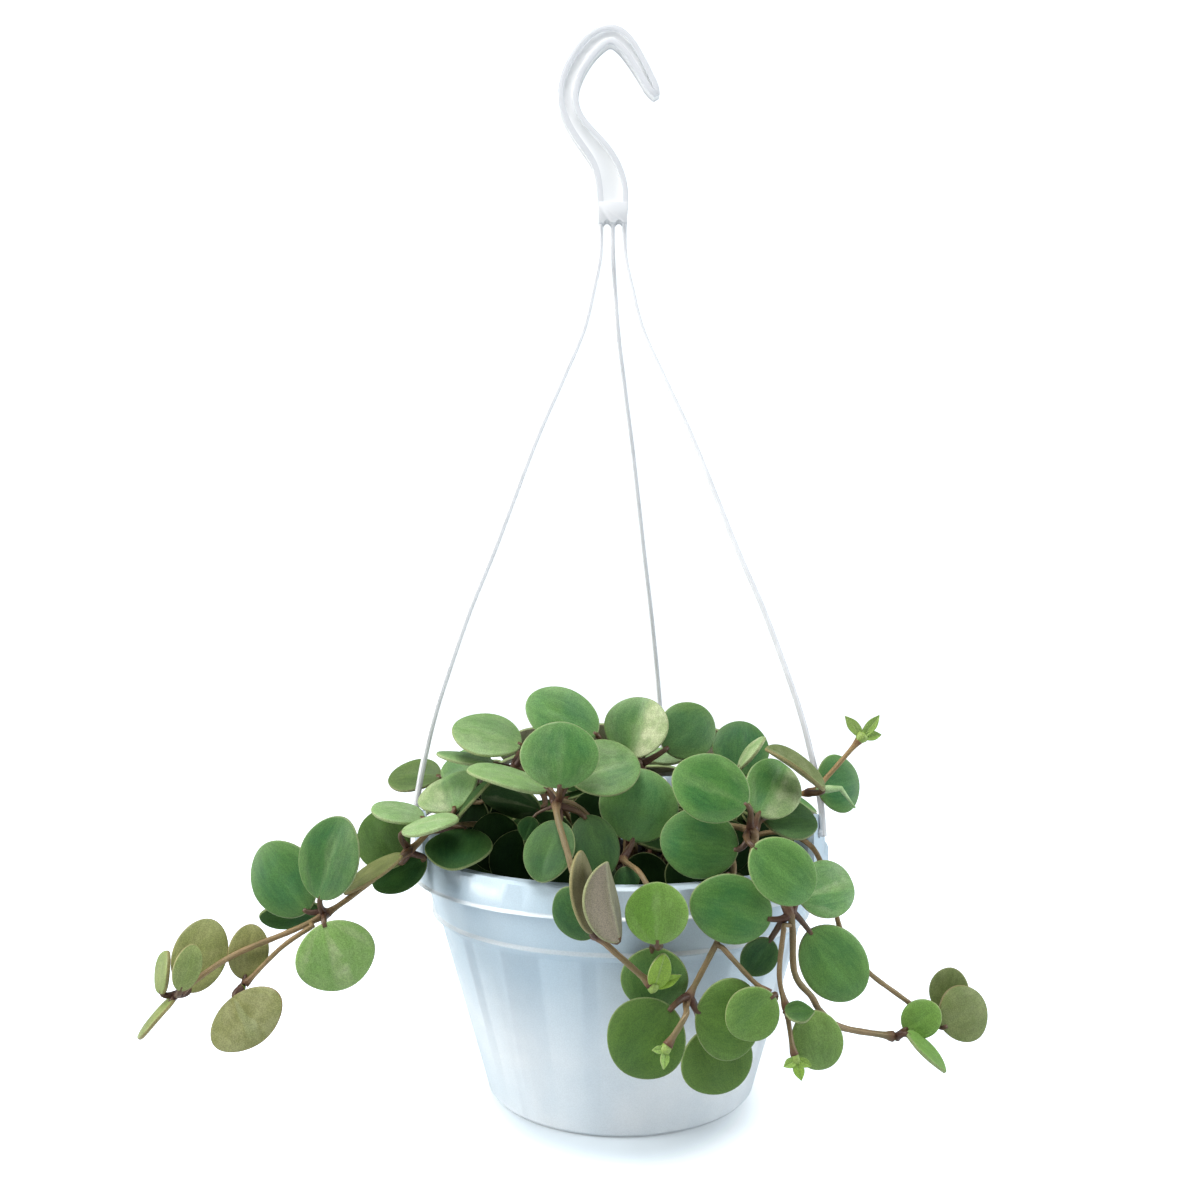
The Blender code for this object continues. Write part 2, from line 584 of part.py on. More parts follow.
def collar_mesh(hub):
    """A short ring round the stem, clear of it by the gap."""
    centre, along, inner = hub
    side = across(along, Vector((0, 0, 1)))
    other = along.cross(side)
    outline = ((inner, -1), (inner + COLLAR_WALL, -1), (inner + COLLAR_WALL, 1), (inner, 1))
    points, faces = [], []
    for k in range(COLLAR_SIDES):
        angle = 2 * math.pi * k / COLLAR_SIDES
        ray = math.cos(angle) * side + math.sin(angle) * other
        for radius, level in outline:
            reach = radius / math.cos(math.pi / COLLAR_SIDES)
            points.append(centre + ray * reach + along * COLLAR_HALF_HEIGHT * level)
    for k in range(COLLAR_SIDES):
        n = (k + 1) % COLLAR_SIDES
        for j in range(4):
            m = (j + 1) % 4
            faces.append((4 * k + j, 4 * k + m, 4 * n + m, 4 * n + j))
    return mesh_from("collar", points, faces)


def bud_mesh(hub):
    """The bud at the end of a stem."""
    mesh = bpy.data.meshes.new("bud")
    bm = bmesh.new()
    bmesh.ops.create_icosphere(bm, subdivisions=1, radius=BUD_RADIUS * MM)
    bmesh.ops.translate(bm, verts=bm.verts, vec=hub[0] * MM)
    bm.to_mesh(mesh)
    bm.free()
    return mesh


def make_whorl(name, node, line, stem_radius, leaves, finish):
    """A whorl of leaves joined by a collar round the stem, or by the bud at its end."""
    hub = whorl_hub(line, node, stem_radius)
    core = collar_mesh(hub) if hub[2] else bud_mesh(hub)
    whorl = add_object(name, core, finish)
    for leaf in leaves:
        joined(whorl, add_object("leaf", leaf_mesh(hub, leaf), None))
    whorl.data.materials.clear()
    whorl.data.materials.append(finish)
    return whorl


def stem_line(points, step):
    """The middle line of a stem; one that grows out of the soil starts upright."""
    line = [Vector(p) for p in points]
    if math.hypot(line[0].x, line[0].y) > SOIL_FLAT_RADIUS:
        return smooth_line(line, step)
    return [line[0]] + smooth_line([line[0] + Vector((0, 0, STEM_FOOT))] + line[1:], step)


def make_stem(name, points, radius, finish):
    """A stem as a round cord through its points."""
    curve = bpy.data.curves.new(name, "CURVE")
    curve.dimensions = "3D"
    curve.bevel_depth = radius * MM
    curve.bevel_resolution = 1
    curve.use_fill_caps = True
    line = stem_line(points, STEM_STEP)
    spline = curve.splines.new("POLY")
    spline.points.add(len(line) - 1)
    for target, point in zip(spline.points, line):
        target.co = (*(point * MM), 1.0)
    stem = bpy.data.objects.new("stem_" + name, curve)
    curve.materials.append(finish)
    bpy.context.scene.collection.objects.link(stem)
    return stem


def make_plant(leaf_finish, stem_finish):
    """Every stem and every whorl of leaves."""
    for name, (radius, points, whorls) in VINES.items():
        make_stem(name, points, radius, stem_finish)
        line = stem_line(points, STEM_STEP)
        for i, (node, leaves) in enumerate(whorls, 1):
            shapes = [leaf_axes(leaf) for leaf in leaves]
            make_whorl(f"leaves_{name}_{i}", Vector(node), line, radius, shapes, leaf_finish)
    for name, (radius, points, whorls) in BACK_VINES.items():
        make_stem(name, points, radius, stem_finish)
        line = stem_line(points, STEM_STEP)
        for i, (node, turn, lift, spins, length) in enumerate(whorls, 1):
            shapes = list(fan_leaves(node, turn, lift, spins, length))
            make_whorl(f"leaves_{name}_{i}", Vector(node), line, radius, shapes, leaf_finish)


def shade_round():
    """Smooth shading, with edges kept where faces meet steeply."""
    for thing in bpy.data.objects:
        if thing.type == "MESH":
            thing.data.shade_smooth()
            thing.data.set_sharp_from_angle(angle=math.radians(SHARP_ANGLE))


def main():
    """Build the whole object."""
    clear_scene()
    make_pot(material("white_plastic", (0.86, 0.88, 0.90), 0.4))
    make_soil(material("soil", (0.05, 0.035, 0.025), 0.95))
    make_hanger(material("hanger_plastic", (0.88, 0.89, 0.90), 0.35))
    make_plant(material("leaf_green", (0.13, 0.28, 0.09), 0.45),
               material("stem_brown", (0.32, 0.22, 0.13), 0.6))
    shade_round()


main()
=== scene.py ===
import math
import random

import bmesh
import bpy
import numpy as np
from mathutils import Matrix, Vector
from mathutils.bvhtree import BVHTree


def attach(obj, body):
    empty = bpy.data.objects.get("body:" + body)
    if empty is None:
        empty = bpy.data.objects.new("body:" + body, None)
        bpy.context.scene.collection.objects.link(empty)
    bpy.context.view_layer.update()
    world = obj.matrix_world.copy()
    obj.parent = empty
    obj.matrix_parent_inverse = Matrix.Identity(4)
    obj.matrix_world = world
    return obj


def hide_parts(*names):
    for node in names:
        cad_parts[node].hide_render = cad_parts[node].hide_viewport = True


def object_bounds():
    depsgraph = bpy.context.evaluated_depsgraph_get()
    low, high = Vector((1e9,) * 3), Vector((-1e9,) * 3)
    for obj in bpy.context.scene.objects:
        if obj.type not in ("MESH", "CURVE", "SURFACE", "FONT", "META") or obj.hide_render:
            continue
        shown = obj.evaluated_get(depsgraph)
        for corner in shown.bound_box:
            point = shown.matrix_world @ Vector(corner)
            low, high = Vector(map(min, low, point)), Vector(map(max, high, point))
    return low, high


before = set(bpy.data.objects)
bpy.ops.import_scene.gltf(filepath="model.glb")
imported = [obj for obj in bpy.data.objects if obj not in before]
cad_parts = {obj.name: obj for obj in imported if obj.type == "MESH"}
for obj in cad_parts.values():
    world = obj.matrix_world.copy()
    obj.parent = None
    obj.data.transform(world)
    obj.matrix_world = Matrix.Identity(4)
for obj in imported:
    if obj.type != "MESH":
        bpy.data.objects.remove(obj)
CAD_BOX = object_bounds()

# The looks of the potted peperomia. Tables and sizes are in millimetres, meshes in metres.
# The CAD frame has its origin under the middle of the pot, X to the right, Y to the back, Z up.
MM = 0.001

# ---------------------------------------------------------------- sizes shared with the solids
LIP_RADIUS = 75.0
LIP_TOP = 88.0
LIP_BOTTOM = 78.0
LIP_SKIRT = 1.6
BAND_TOP_RADIUS = 70.5
BAND_BOTTOM = 65.0
BAND_BOTTOM_RADIUS = 67.4
BODY_TOP_RADIUS = 66.0
BASE_RADIUS = 48.0
WALL = 1.5
BEAD = 0.8  # how far the bead under the band stands out
CORNER = 1.2
FLOOR = 2.0
DRAIN_RADIUS = 3.0
DRAIN_RING = 30.0
DRAIN_COUNT = 5
DRAIN_TURN = 0.25  # where the first drain hole lies, as a share of the way to the next
EAR_DIRECTIONS = (-112.0, 15.0, 118.0)
EAR_INNER = 73.0
EAR_OUTER = 75.0
EAR_HALF_WIDTH = 6.0
EAR_FOOT = 84.0
EAR_CENTRE = 97.0
EAR_HOLE_RADIUS = 1.9
SOIL_TOP = 75.7
SOIL_RADIUS = 65.8
HOOK_LINE = (
    (-2.7, 317.0, 10.6), (-2.7, 323.4, 11.4), (-3.5, 328.5, 11.0), (-5.3, 334.2, 9.9),
    (-8.6, 339.3, 9.0), (-13.4, 345.0, 8.0), (-16.8, 349.8, 7.2), (-18.8, 355.2, 7.2),
    (-19.2, 360.6, 7.5), (-17.9, 366.2, 7.7), (-14.8, 372.2, 7.7), (-10.0, 378.2, 7.7),
    (-4.4, 381.9, 7.9), (0.6, 379.6, 7.0), (4.6, 374.2, 6.2), (9.0, 366.6, 5.3),
    (13.2, 358.8, 4.7),
)
HOOK_TIP = (0.5, 0.86, 1.0)  # how the band narrows over its last steps
HOOK_DEPTH = 5.0
HOOK_RAIL = 2.0
HOOK_WEB = 2.4
BLOCK_CENTRE = (-2.8, 316.2)
BLOCK_SIZE = (10.4, 5.6, 7.4)
STRAND_RADIUS = 0.9
STRAND_ROOTS = (-4.3, 0.0, 4.3)
STRAND_ROOT_Z = 315.0
STRAND_DROP = 8.0  # how far a strand runs straight down first
STRAND_FALL = (
    (0.006, 300.0), (0.04, 289.0), (0.10, 273.0), (0.22, 254.0), (0.37, 231.0), (0.58, 194.0),
    (0.72, 171.0), (0.84, 148.0), (0.90, 135.0), (0.94, 124.0), (0.97, 114.0), (0.99, 105.0),
)
STRAND_END_RADIUS = 76.4
STRAND_END_DROP = 1.2
PEG_RADIUS = 1.5
PEG_HEAD_RADIUS = 2.7
PEG_HEAD_LENGTH = 1.4
GAP = 0.3
BUD_RADIUS = 1.2
STEM_FOOT = 3.0
SOIL_FLAT_RADIUS = 37.0
LEAF_THICKNESS = 1.6
STALK_RADIUS = 0.8
TIP_LENGTH = 10.0
NODE_SWELL = 0.75  # how much thicker a stem is at a node
NODE_LENGTH = 2.2
STEM_SHARE = 0.88  # a stem's radius as a share of its solid's
STEM_STEP = 8.0
STEM_FINE_STEP = 1.2

# ---------------------------------------------------------------- sizes of the looks alone
POT_SIDES = 128
HOOK_STEP = 2.0
HOOK_SMOOTHING = 4
NOTCH_RADIUS = 1.1
STRAND_STEP = 3.0
BLADE_SIDES = 24
BLADE_DEPTH = 0.06
BLADE_RINGS = (0.05, 0.13, 0.2, 0.22, 0.2)
BOX_ROOM = 0.05  # what every blade keeps to the sides of the object's box
GROOVE_DEPTH = 0.16
GROOVE_WIDTH = 0.12  # as a share of half the width
DOMING = (-0.1, -0.045)  # as a share of the width
WAVINESS = 0.014  # as a share of the width
CURL = 0.04  # as a share of the length
LEAF_POINT = (0.02, 0.1)  # how much a grown leaf narrows at its tip
TIP_POINT = 0.8  # the same for the small leaves at stem ends
LEAF_VEINS = 7.0
SATIN_GLOSS = 0.38
SHADED_GLOSS = 0.1
GREEN_SKIN = (0.3, 0.2, 1.0)  # where on a blade the green of buds and young stem ends is taken from
# The low growth inside the rim: whorls tried, how far out and how high they sit, room for their leaves
INNER_TRIES = 80
INNER_SPREAD = 52.0
INNER_HEIGHTS = (81, 98)
INNER_REACH = 66.0
INNER_TOP = 103.0
SOIL_RINGS = 16
SOIL_WAVES = 14
SOIL_LUMP = 2.2
SOIL_SINK = 0.6
SOIL_EDGE = (60.0, 1.2)  # from this radius on the soil lies this much lower
CRUMB_COUNT = 260
CRUMB_SPREAD = 62.0
CRUMB_SIZES = (0.5, 1.7)
STALK_STEPS = 8
STALK_BEND = 0.25  # how far from its ends a stalk bends, as a share of its length
STALK_SINK = 1.6  # how far a stalk runs on along the blade
STEM_TAPER = 0.16
FULL_TURN = 6.28  # for where waves and turns start by chance
NO_MARK = (0, 0, 0)
SOIL_SEED, PLANT_SEED, INNER_SEED = 5, 21, 9

# ---------------------------------------------------------------- where every stem and leaf grows
# Each vine: stem radius, the points that its stem runs through, then its whorls.
# Each whorl: the point on the stem, then its leaves.
# Each leaf: x, y, z of its middle, turn and lift of its upper face (turn 0 faces -Y and 90
# faces +X), aim of its tip (0 up and 90 towards +X, seen from -Y), length, width.
VINES = {
    "left": (1.1,
        ((-16, -10, 76), (-40, -28, 97), (-61, -39, 99), (-70, -45, 93), (-95, -56, 75), (-121, -66, 65),
         (-135, -72, 56)),
        (((-61, -39, 99), ((-74, -43, 105, 45, 72, -78, 18, 16), (-58, -35, 110, -25, 48, -25, 17, 21),
                           (-48, -46, 111, -84, 40, 40, 19, 12), (-53, -51, 95, -15, 55, 180, 17, 22))),
         ((-70, -45, 93), ((-62, -53, 103, -50, 72, 72, 19, 14), (-80, -36, 95, -20, 25, -40, 23, 19),
                           (-74, -40, 84.5, 0, 5, -118, 20, 12))),
         ((-95, -56, 75), ((-92, -61, 94, -15, 5, 15, 27, 20), (-109, -53, 85.6, -10, 10, -40, 27, 21),
                           (-108, -48, 73, 20, -40, -80, 20, 14), (-90, -63, 64, 10, 5, 160, 22, 24))),
         ((-135, -72, 56), ((-132, -64, 64.5, 20, 22, 16, 23, 16), (-131, -78, 65, 30, 5, 20, 14, 8),
                            (-140, -73, 62, -50, 10, -15, 13, 10),
                            (-141.5, -75, 49, -75, 42, -133, 16, 12))))),
    "left_low": (0.9,
        ((-98, -59.6, 72.4), (-107, -63, 66.5), (-116.5, -69, 57)),
        (((-116.5, -69, 57), ((-117.5, -62, 65, 20, 15, 8, 17, 12),
                              (-114, -75, 48.5, 0, 15, 145, 16.5, 23))),)),
    "upper_left": (1.0,
        ((-9, -3, 76), (-20, -17, 101), (-28, -27, 111), (-36, -36, 119), (-42, -28, 110),
         (-49, -23, 105), (-56, -21, 106), (-61, -19, 108)),
        (((-28, -27, 111), ((-37, -39, 108, 160, 42, -90, 21, 18),)),
         ((-36, -36, 120), ((-45, -40, 130, 20, 55, -75, 24, 21), (-52, -37, 122, 60, 78, -75, 21, 12),
                            (-45, -24, 124, 20, 78, -75, 18, 12))),
         ((-56, -21, 106), ((-73, -15, 112.5, -20, 55, -74, 20, 16),
                            (-54, -22, 117, -10, 48, -30, 16, 18))))),
    "front": (1.2,
        ((-2, -14, 76), (-12, -42, 104), (-21, -62, 111), (-17, -76, 98), (-12, -80.5, 82),
         (-8.5, -82, 76), (7.5, -84, 62)),
        (((-21, -62, 111), ((-20, -66, 127, 0, 5, 0, 21, 24), (-6, -56, 121, 10, 40, 60, 24, 20),
                            (-37, -55, 118, 53, 71, -68, 27, 17), (-23, -69, 98, -20, 28, 190, 20, 16),
                            (-9, -65, 99, 15, 25, 165, 20, 15))),
         ((-8.5, -82, 76), ((-12, -85.5, 89.5, -118, -8, -12, 25, 13),
                            (-4.5, -89, 87.5, -125, -10, -12, 24, 16),
                            (-14.5, -77, 81, -10, 0, -35, 17.5, 14))),
         ((7.5, -84, 62), ((11, -88.5, 68.5, 10, 5, 10, 11, 8.5),
                           (15.3, -86.8, 64.6, 25, 20, 62, 7, 4.6))))),
    "mid": (1.0,
        ((5, -12, 76), (4, -36, 93), (0, -57, 93), (5, -75, 92), (10, -81, 82), (10, -81, 74)),
        (((0, -57, 93), ((5, -52, 109, 0, 10, 10, 24, 25), (-7, -59, 88, 10, 10, -130, 10, 10))),
         ((10, -81, 74), ((9, -88, 84, 0, 10, 0, 18, 18), (9, -73, 60, -5, -5, 175, 20, 20))))),
    "crown": (1.0,
        ((3, 0, 76), (9, -20, 106), (6, -38, 120), (-6, -42, 126)),
        (((6, -38, 120), ((5, -42, 133, -15, 20, 10, 21, 21), (22, -34, 131, 10, 15, 50, 21, 19))),
         ((-6, -42, 126), ((-20, -44, 137, -5, 20, -60, 27, 18),)))),
    "upper_right": (0.9,
        ((15, 3, 76), (26, -20, 104), (36, -36, 112)),
        (((36, -36, 112), ((40, -33, 125, 5, 25, 10, 20, 19), (42, -45, 125, -80, 37, 35, 14, 9))),)),
    "right": (1.2,
        ((12, -14, 76), (26, -46, 100), (39, -69, 104), (39, -71, 96), (42, -73, 89), (50, -74, 80),
         (51, -76, 63), (56, -77, 56), (59, -75, 51), (66, -72, 45), (83, -66, 40)),
        (((39, -69, 104), ((26, -73, 118, -5, 12, -65, 25, 20), (47, -57, 115, 20, 30, 35, 22, 18),
                           (53, -56, 105, 20, 45, 80, 19, 15), (23, -67, 100, -10, 10, -80, 25, 21),
                           (47, -79, 94, 10, 5, 130, 24, 18))),
         ((50, -74, 81), ((32, -76, 82, 5, 5, -75, 26, 20), (62, -68, 86, 20, 25, 70, 21, 17),
                          (64, -71, 64, 10, 0, 142, 27, 20), (41, -71, 66, 0, -10, -150, 14, 11))),
         ((83, -66, 40), ((93, -62, 44, -20, 10, 55, 13.5, 11), (93, -68, 36, 70, 45, 130, 17, 11))))),
    "right_tip": (0.9,
        ((48, -75.3, 77), (46, -79, 63), (48, -80, 53), (49, -84, 44), (49.6, -85, 41.5)),
        (((48, -80, 54), ((57, -80, 44, 0, 5, 170, 18, 15),)),
         ((49.6, -85, 41.5), ((47.1, -86.8, 38.6, 0, 20, -100, 3.8, 2.8),
                              (51.2, -87, 35.8, 0, 10, 172, 4.8, 3.2),
                              (53.6, -85.9, 38.6, 10, 20, 100, 4, 2.6))))),
    "lower": (1.1,
        ((16, -12, 76), (30, -44, 97), (34, -62, 94), (32, -72, 85), (29, -74, 74), (19, -78, 56),
         (17.5, -86, 53.5), (12, -89.5, 46)),
        (((19, -78, 56), ((6, -84, 46, -5, 10, -140, 24, 23), (28, -73, 35, 5, 0, 155, 21, 22),
                          (31, -79, 50, 8, 10, 103, 21, 23))),
         ((12, -89.5, 46), ((8.6, -91.5, 45, -10, 20, -78, 4.2, 2.6),
                            (10.6, -92, 41.3, 10, 10, 182, 4.8, 3))))),
    "lower_branch": (0.9,
        ((29.2, -76.3, 70.6), (38, -79, 61.5), (43, -80, 58)),
        (((43, -80, 58), ((37, -86, 54, 0, 5, -130, 17, 15),)),)),
    "side_right": (1.0,
        ((28, -12, 76), (48, -32, 96), (61, -46, 95), (66, -54, 82), (69, -60, 69), (76, -61, 59),
         (87, -58, 50), (98, -57, 42)),
        (((98, -57, 42), ((105, -51, 49, -20, 10, 10, 15, 12), (107, -60, 45, 10, 10, 60, 17, 17))),)),
    "shoot": (1.0,
        ((22, -6, 76), (44, -28, 106), (60, -51, 113), (66, -50, 118), (76.5, -50, 130)),
        (((60, -51, 113), ((54, -60, 122, 60, 50, -50, 23, 11), (72, -38, 113.8, 15, 10, 76, 16, 19))),
         ((76.5, -50, 130), ((74.6, -50.5, 135.4, -20, 20, -54, 6, 3),
                             (80.6, -50, 135.6, 10, 20, 48, 5, 2.8),
                             (81.2, -50, 132.2, 20, 10, 112, 4, 2.6))))),
}

# The side turned away, where the leaves of a whorl fan out evenly in one plane.
# Each whorl: the point on the stem, turn and lift of the plane, the turn of each leaf's tip
# in it (0 up, growing clockwise), length.
BACK_VINES = {
    "back_left": (1.1,
        ((-12, 12, 76), (-28, 36, 101), (-40, 54, 103), (-51, 69, 93), (-55, 75, 79)),
        (((-40, 54, 103), -143, 40, (-75, 15, 100), 21), ((-55, 75, 78), -143, 5, (-80, 70, 175), 21))),
    "back": (1.1,
        ((-2, 14, 76), (-5, 40, 102), (-5, 60, 105), (-5, 78, 97), (-4, 85, 81)),
        (((-5, 58, 105), 180, 40, (-90, 0, 90), 20), ((-4, 86, 78), 178, 5, (-80, 70, 180), 22))),
    "back_right": (1.1,
        ((12, 10, 76), (34, 34, 101), (46, 46, 103), (59, 61, 93), (64, 66, 77)),
        (((46, 46, 103), 137, 40, (-85, 5, 95), 22), ((64, 66, 76), 137, 5, (-70, 80, 180), 21))),
    "side_left": (1.0,
        ((-18, 4, 76), (-40, 12, 98), (-56, 18, 101)),
        (((-55, 18, 101), -110, 55, (-80, 15, 110), 20),)),
    "side_back": (1.0,
        ((18, 6, 76), (44, 10, 99), (60, 12, 101)),
        (((59, 12, 101), 100, 55, (-90, 0, 90), 20),)),
    "middle": (1.0,
        ((2, 8, 76), (2, 14, 96), (0, 20, 106)),
        (((0, 20, 105), 180, 70, (-60, 30, 120, -150), 21),)),
}
FAN_STALK = 5.0
FAN_RISE = 2.6
FAN_WIDTH_SHARE = 0.93

# How single leaves differ: paleness (painted light), olive brown, young yellow green, darkness (painted
# shade), fold along the midrib
LEAF_LOOKS = {
    "left_1": ((0.75, 0, 0.1, 0, 0.05), (0.3, 0, 0.05, 0.05, 0.15), (0.1, 0.1, 0, 0.7, 0.1),
               (0, 0, 0, 0.72, 0.05)),
    "left_2": ((0.8, 0, 0.2, 0, 0.05), (0.05, 0.1, 0.2, 0.6, 0.1), (0, 0, 0, 0.7, 0.1)),
    "left_3": ((0, 0, 0, 0.26, 0.1), (0, 0, 0.02, 0.22, 0.04), (0, 0, 0, 0.6, 0.05), (0.35, 0, 0.5, 0, 0.04)),
    "left_4": ((0.05, 0.85, 0, 0, 0.08), (0.08, 0.6, 0.15, 0, 0.1), (0.05, 0.6, 0.1, 0, 0.1),
               (0.05, 0.65, 0.1, 0, 0.05)),
    "left_low_1": ((0.0, 0.95, 0, 0.1, 0.1), (0.0, 0.95, 0, 0.1, 0.05)),
    "upper_left_1": ((0.1, 0, 0, 0.66, 0.1),),
    "upper_left_2": ((0.3, 0.1, 0, 0, 0.06), (0.5, 0, 0.1, 0.05, 0.05), (0.4, 0, 0.05, 0.1, 0.05)),
    "upper_left_3": ((0.0, 0.3, 0.05, 0.4, 0.1), (0.28, 0.05, 0, 0, 0.08)),
    "front_1": ((0.05, 0, 0.02, 0, 0.03), (0.12, 0.12, 0, 0, 0.12), (0.6, 0, 0.3, 0, 0.08),
                (0.05, 0, 0, 0.5, 0.1), (0, 0.05, 0, 0.55, 0.05)),
    "front_2": ((0.05, 0.6, 0, 0.25, 0.1), (0.0, 0.1, 0, 0.24, 0.3), (0, 0, 0, 0.5, 0.05)),
    "front_3": ((0, 0.1, 1.0, 0, 0.25), (0, 0.1, 1.0, 0, 0.2)),
    "mid_1": ((0.1, 0, 0.05, 0.0, 0.03), (0, 0.2, 0, 0.5, 0.05)),
    "mid_2": ((0.0, 0, 0.45, 0.1, 0.02), (0.0, 0.05, 0.2, 0.3, 0.05)),
    "crown_1": ((0.12, 0.1, 0, 0, 0.2), (0.05, 0.08, 0, 0.2, 0.05)),
    "crown_2": ((0.12, 0, 0, 0, 0.04),),
    "upper_right_1": ((0.02, 0, 0, 0.3, 0.05), (0.6, 0.15, 0, 0, 0.1)),
    "right_1": ((0, 0, 0, 0.08, 0.06), (0.08, 0, 0.02, 0, 0.15), (0, 0.08, 0, 0.45, 0.1),
                (0, 0, 0, 0.12, 0.05), (0.05, 0, 0.08, 0, 0.08)),
    "right_2": ((0, 0, 0.04, 0.05, 0.04), (0.15, 0, 0.02, 0, 0.08), (0.02, 0, 0.12, 0.05, 0.05),
                (0, 0, 0, 0.4, 0.05)),
    "right_3": ((0.1, 0, 0.5, 0.05, 0.08), (0.12, 0, 0.45, 0.1, 0.1)),
    "right_tip_1": ((0.05, 0.2, 0.3, 0, 0.1),),
    "right_tip_2": ((0.2, 0.1, 0.9, 0, 0.2), (0.1, 0.05, 0.9, 0, 0.2), (0.1, 0.1, 0.9, 0, 0.2)),
    "lower_1": ((0.0, 0, 0.4, 0.52, 0.03), (0.0, 0.05, 0.45, 0.4, 0.05), (0.0, 0.05, 0.35, 0.3, 0.05)),
    "lower_2": ((0.3, 0.1, 0.9, 0, 0.2), (0.3, 0.1, 0.9, 0, 0.2)),
    "lower_branch_1": ((0.03, 0.1, 0.25, 0.15, 0.05),),
    "side_right_1": ((0.05, 0.6, 0, 0.3, 0.1), (0.05, 0.65, 0, 0.22, 0.08)),
    "shoot_1": ((0.05, 0.6, 0, 0.35, 0.3), (0.02, 0, 0, 0.15, 0.05)),
    "shoot_2": ((0.2, 0.3, 0.7, 0, 0.25), (0.15, 0.2, 0.8, 0, 0.25), (0.15, 0.2, 0.8, 0, 0.25)),
}
PLAIN_LOOK = (0.1, 0.02, 0.02, 0.05, 0.06)
# From this much painted shade on a leaf has the duller finish, which also keeps sheen off it, where the piece
# has one
DULL_FROM = 0.58
# Pale marks of single leaves, by whorl and number: painted light on the left half, painted light on the right
# half, the leaf's own pale rays along the veins
LEAF_MARKS = {
    ("left_1", 1): (0.6, 0.1, 0.2), ("left_3", 0): (0, 0.1, 0.15), ("left_3", 3): (0, 0, 0.5),
    ("left_2", 0): (0.1, 0, 0.3), ("upper_left_1", 0): (0.1, 0.1, 0.8), ("upper_left_2", 0): (0.15, 0, 0.1),
    ("front_1", 0): (0.1, 0, 0.1), ("front_1", 1): (0.2, 0, 0.2), ("front_2", 1): (0.35, 0, 0),
    ("crown_1", 0): (0, 0.9, 0.1), ("upper_right_1", 1): (0.6, 0.3, 0), ("right_1", 1): (0.0, 0.6, 0.2),
    ("right_1", 0): (0, 0, 0.1), ("right_2", 1): (0.1, 0, 0.3), ("mid_2", 0): (0, 0.1, 0.15),
    ("shoot_1", 0): (0, 0.2, 0.2), ("left_low_1", 1): (0.2, 0.2, 0.5),
}
# Low leaves behind the gaps between the front whorls, coloured near black as painted shade, and the moves
# back tried until one has room
SHADE_LEAVES = (
    (-54, -36, 98, -20, 10, 10, 18, 17), (-42, -42, 95, -10, 12, -15, 20, 18),
    (-34, -46, 90, 0, 10, 10, 20, 19), (-24, -50, 98, 5, 12, -10, 18, 16), (-9, -45, 101, 0, 8, 5, 18, 17),
    (7, -48, 85, 0, 5, -8, 16, 16), (22, -50, 86, 8, 5, 12, 17, 17), (36, -50, 92, 12, 8, 5, 18, 16),
    (52, -40, 92, 15, 10, 15, 18, 17), (-62, -20, 97, -40, 10, -5, 17, 16),
    (-43, -28, 106, -10, 10, 5, 17, 15), (-52, -30, 103, -15, 10, 0, 15, 13),
    (-48, -22, 100, -20, 10, 8, 18, 17), (-15, -58, 86, 0, 10, 12, 17, 17),
)
SHADE_MOVES = (0, 4, 8, -4, 12, -8, 16, 20)
SHADE_TOP = 114.0
SHADE_LOOK = (0, 0.05, 0, 0.93, 0.05)
# Leaves that show one look on both faces: 1 the upper, 0 the lower
ONE_FACED = {("front_2", 1): 0.0, ("upper_left_1", 0): 1.0, ("left_2", 1): 1.0}
# Small leaves that fill in single whorls, each with its look
EXTRA_LEAVES = {
    "crown_1": (((14.8, -24, 121.0, -10, 62, 115, 14, 9), (0.7, 0.1, 0, 0.1, 0.05)),),
    "right_tip_1": (((51, -85.5, 54.5, 0, 70, 80, 9, 9), (0, 0, 0.1, 0.5, 0.05)),),
    "left_2": (((-80.5, -52, 87, -56, 53, -122, 23, 11), (0.0, 0.75, 0, 0.35, 0.1)),),
    "front_1": (((-30, -60, 103, -10, 10, -160, 8, 7), (0, 0, 0, 0.8, 0.05)),),
    "mid_1": (((0.8, -64, 87.6, 0, 10, 170, 9, 8), (0, 0, 0, 0.5, 0.05)),),
}
# A young flower spike: a pale strip that bends over into a thin point, as points and radii
SPIKE_WHORL = "shoot_1"
SPIKE_LINE = ((61.4, -55, 114.2), (65.0, -55.4, 114.8), (69.3, -55, 114.9), (71.6, -55, 111.8),
              (73.8, -55, 108.7))
SPIKE_RADII = (0.9, 1.3, 0.9, 0.5, 0.4)
# Stem ends that open into a star of young leaves: how wide they flare, how long and how wide the leaves are
STAR_ENDS = {"shoot_2": (1.1, 1.1, 1.2), "right_tip_2": (0.5, 0.8, 1.0), "front_3": (0.8, 0.82, 0.75),
             "lower_2": (0.6, 0.8, 0.85)}
# The flared stem under a star: heights along the stem, and how much of the flare each has
FLARE = ((-4.6, 0.0), (-3.2, 0.15), (-2.0, 0.45), (-0.9, 0.95), (0.2, 1.05), (0.9, 0.1))
# Lighter, redder young stems
YOUNG_STEMS = {"shoot": 0.8, "left": 0.25, "left_low": 0.35, "side_right": 0.3}


# ---------------------------------------------------------------- modelling helpers

def deselect():
    """Nothing selected."""
    bpy.ops.object.select_all(action="DESELECT")


def choose(*pieces):
    """Select only these pieces, the first one active."""
    deselect()
    for piece in pieces:
        piece.select_set(True)
    bpy.context.view_layer.objects.active = pieces[0]


def named(name):
    """Name the object that was just added, and its mesh."""
    piece = bpy.context.object
    piece.name = name
    piece.data.name = name
    return piece


def pick(piece, kind, test):
    """Enter edit mode with only the faces or edges that pass the test selected."""
    choose(piece)
    bpy.ops.object.mode_set(mode="EDIT")
    bpy.ops.mesh.select_mode(type=kind)
    bpy.ops.mesh.select_all(action="DESELECT")
    bpy.ops.object.mode_set(mode="OBJECT")
    for part in piece.data.polygons if kind == "FACE" else piece.data.edges:
        part.select = test(part)
    bpy.ops.object.mode_set(mode="EDIT")


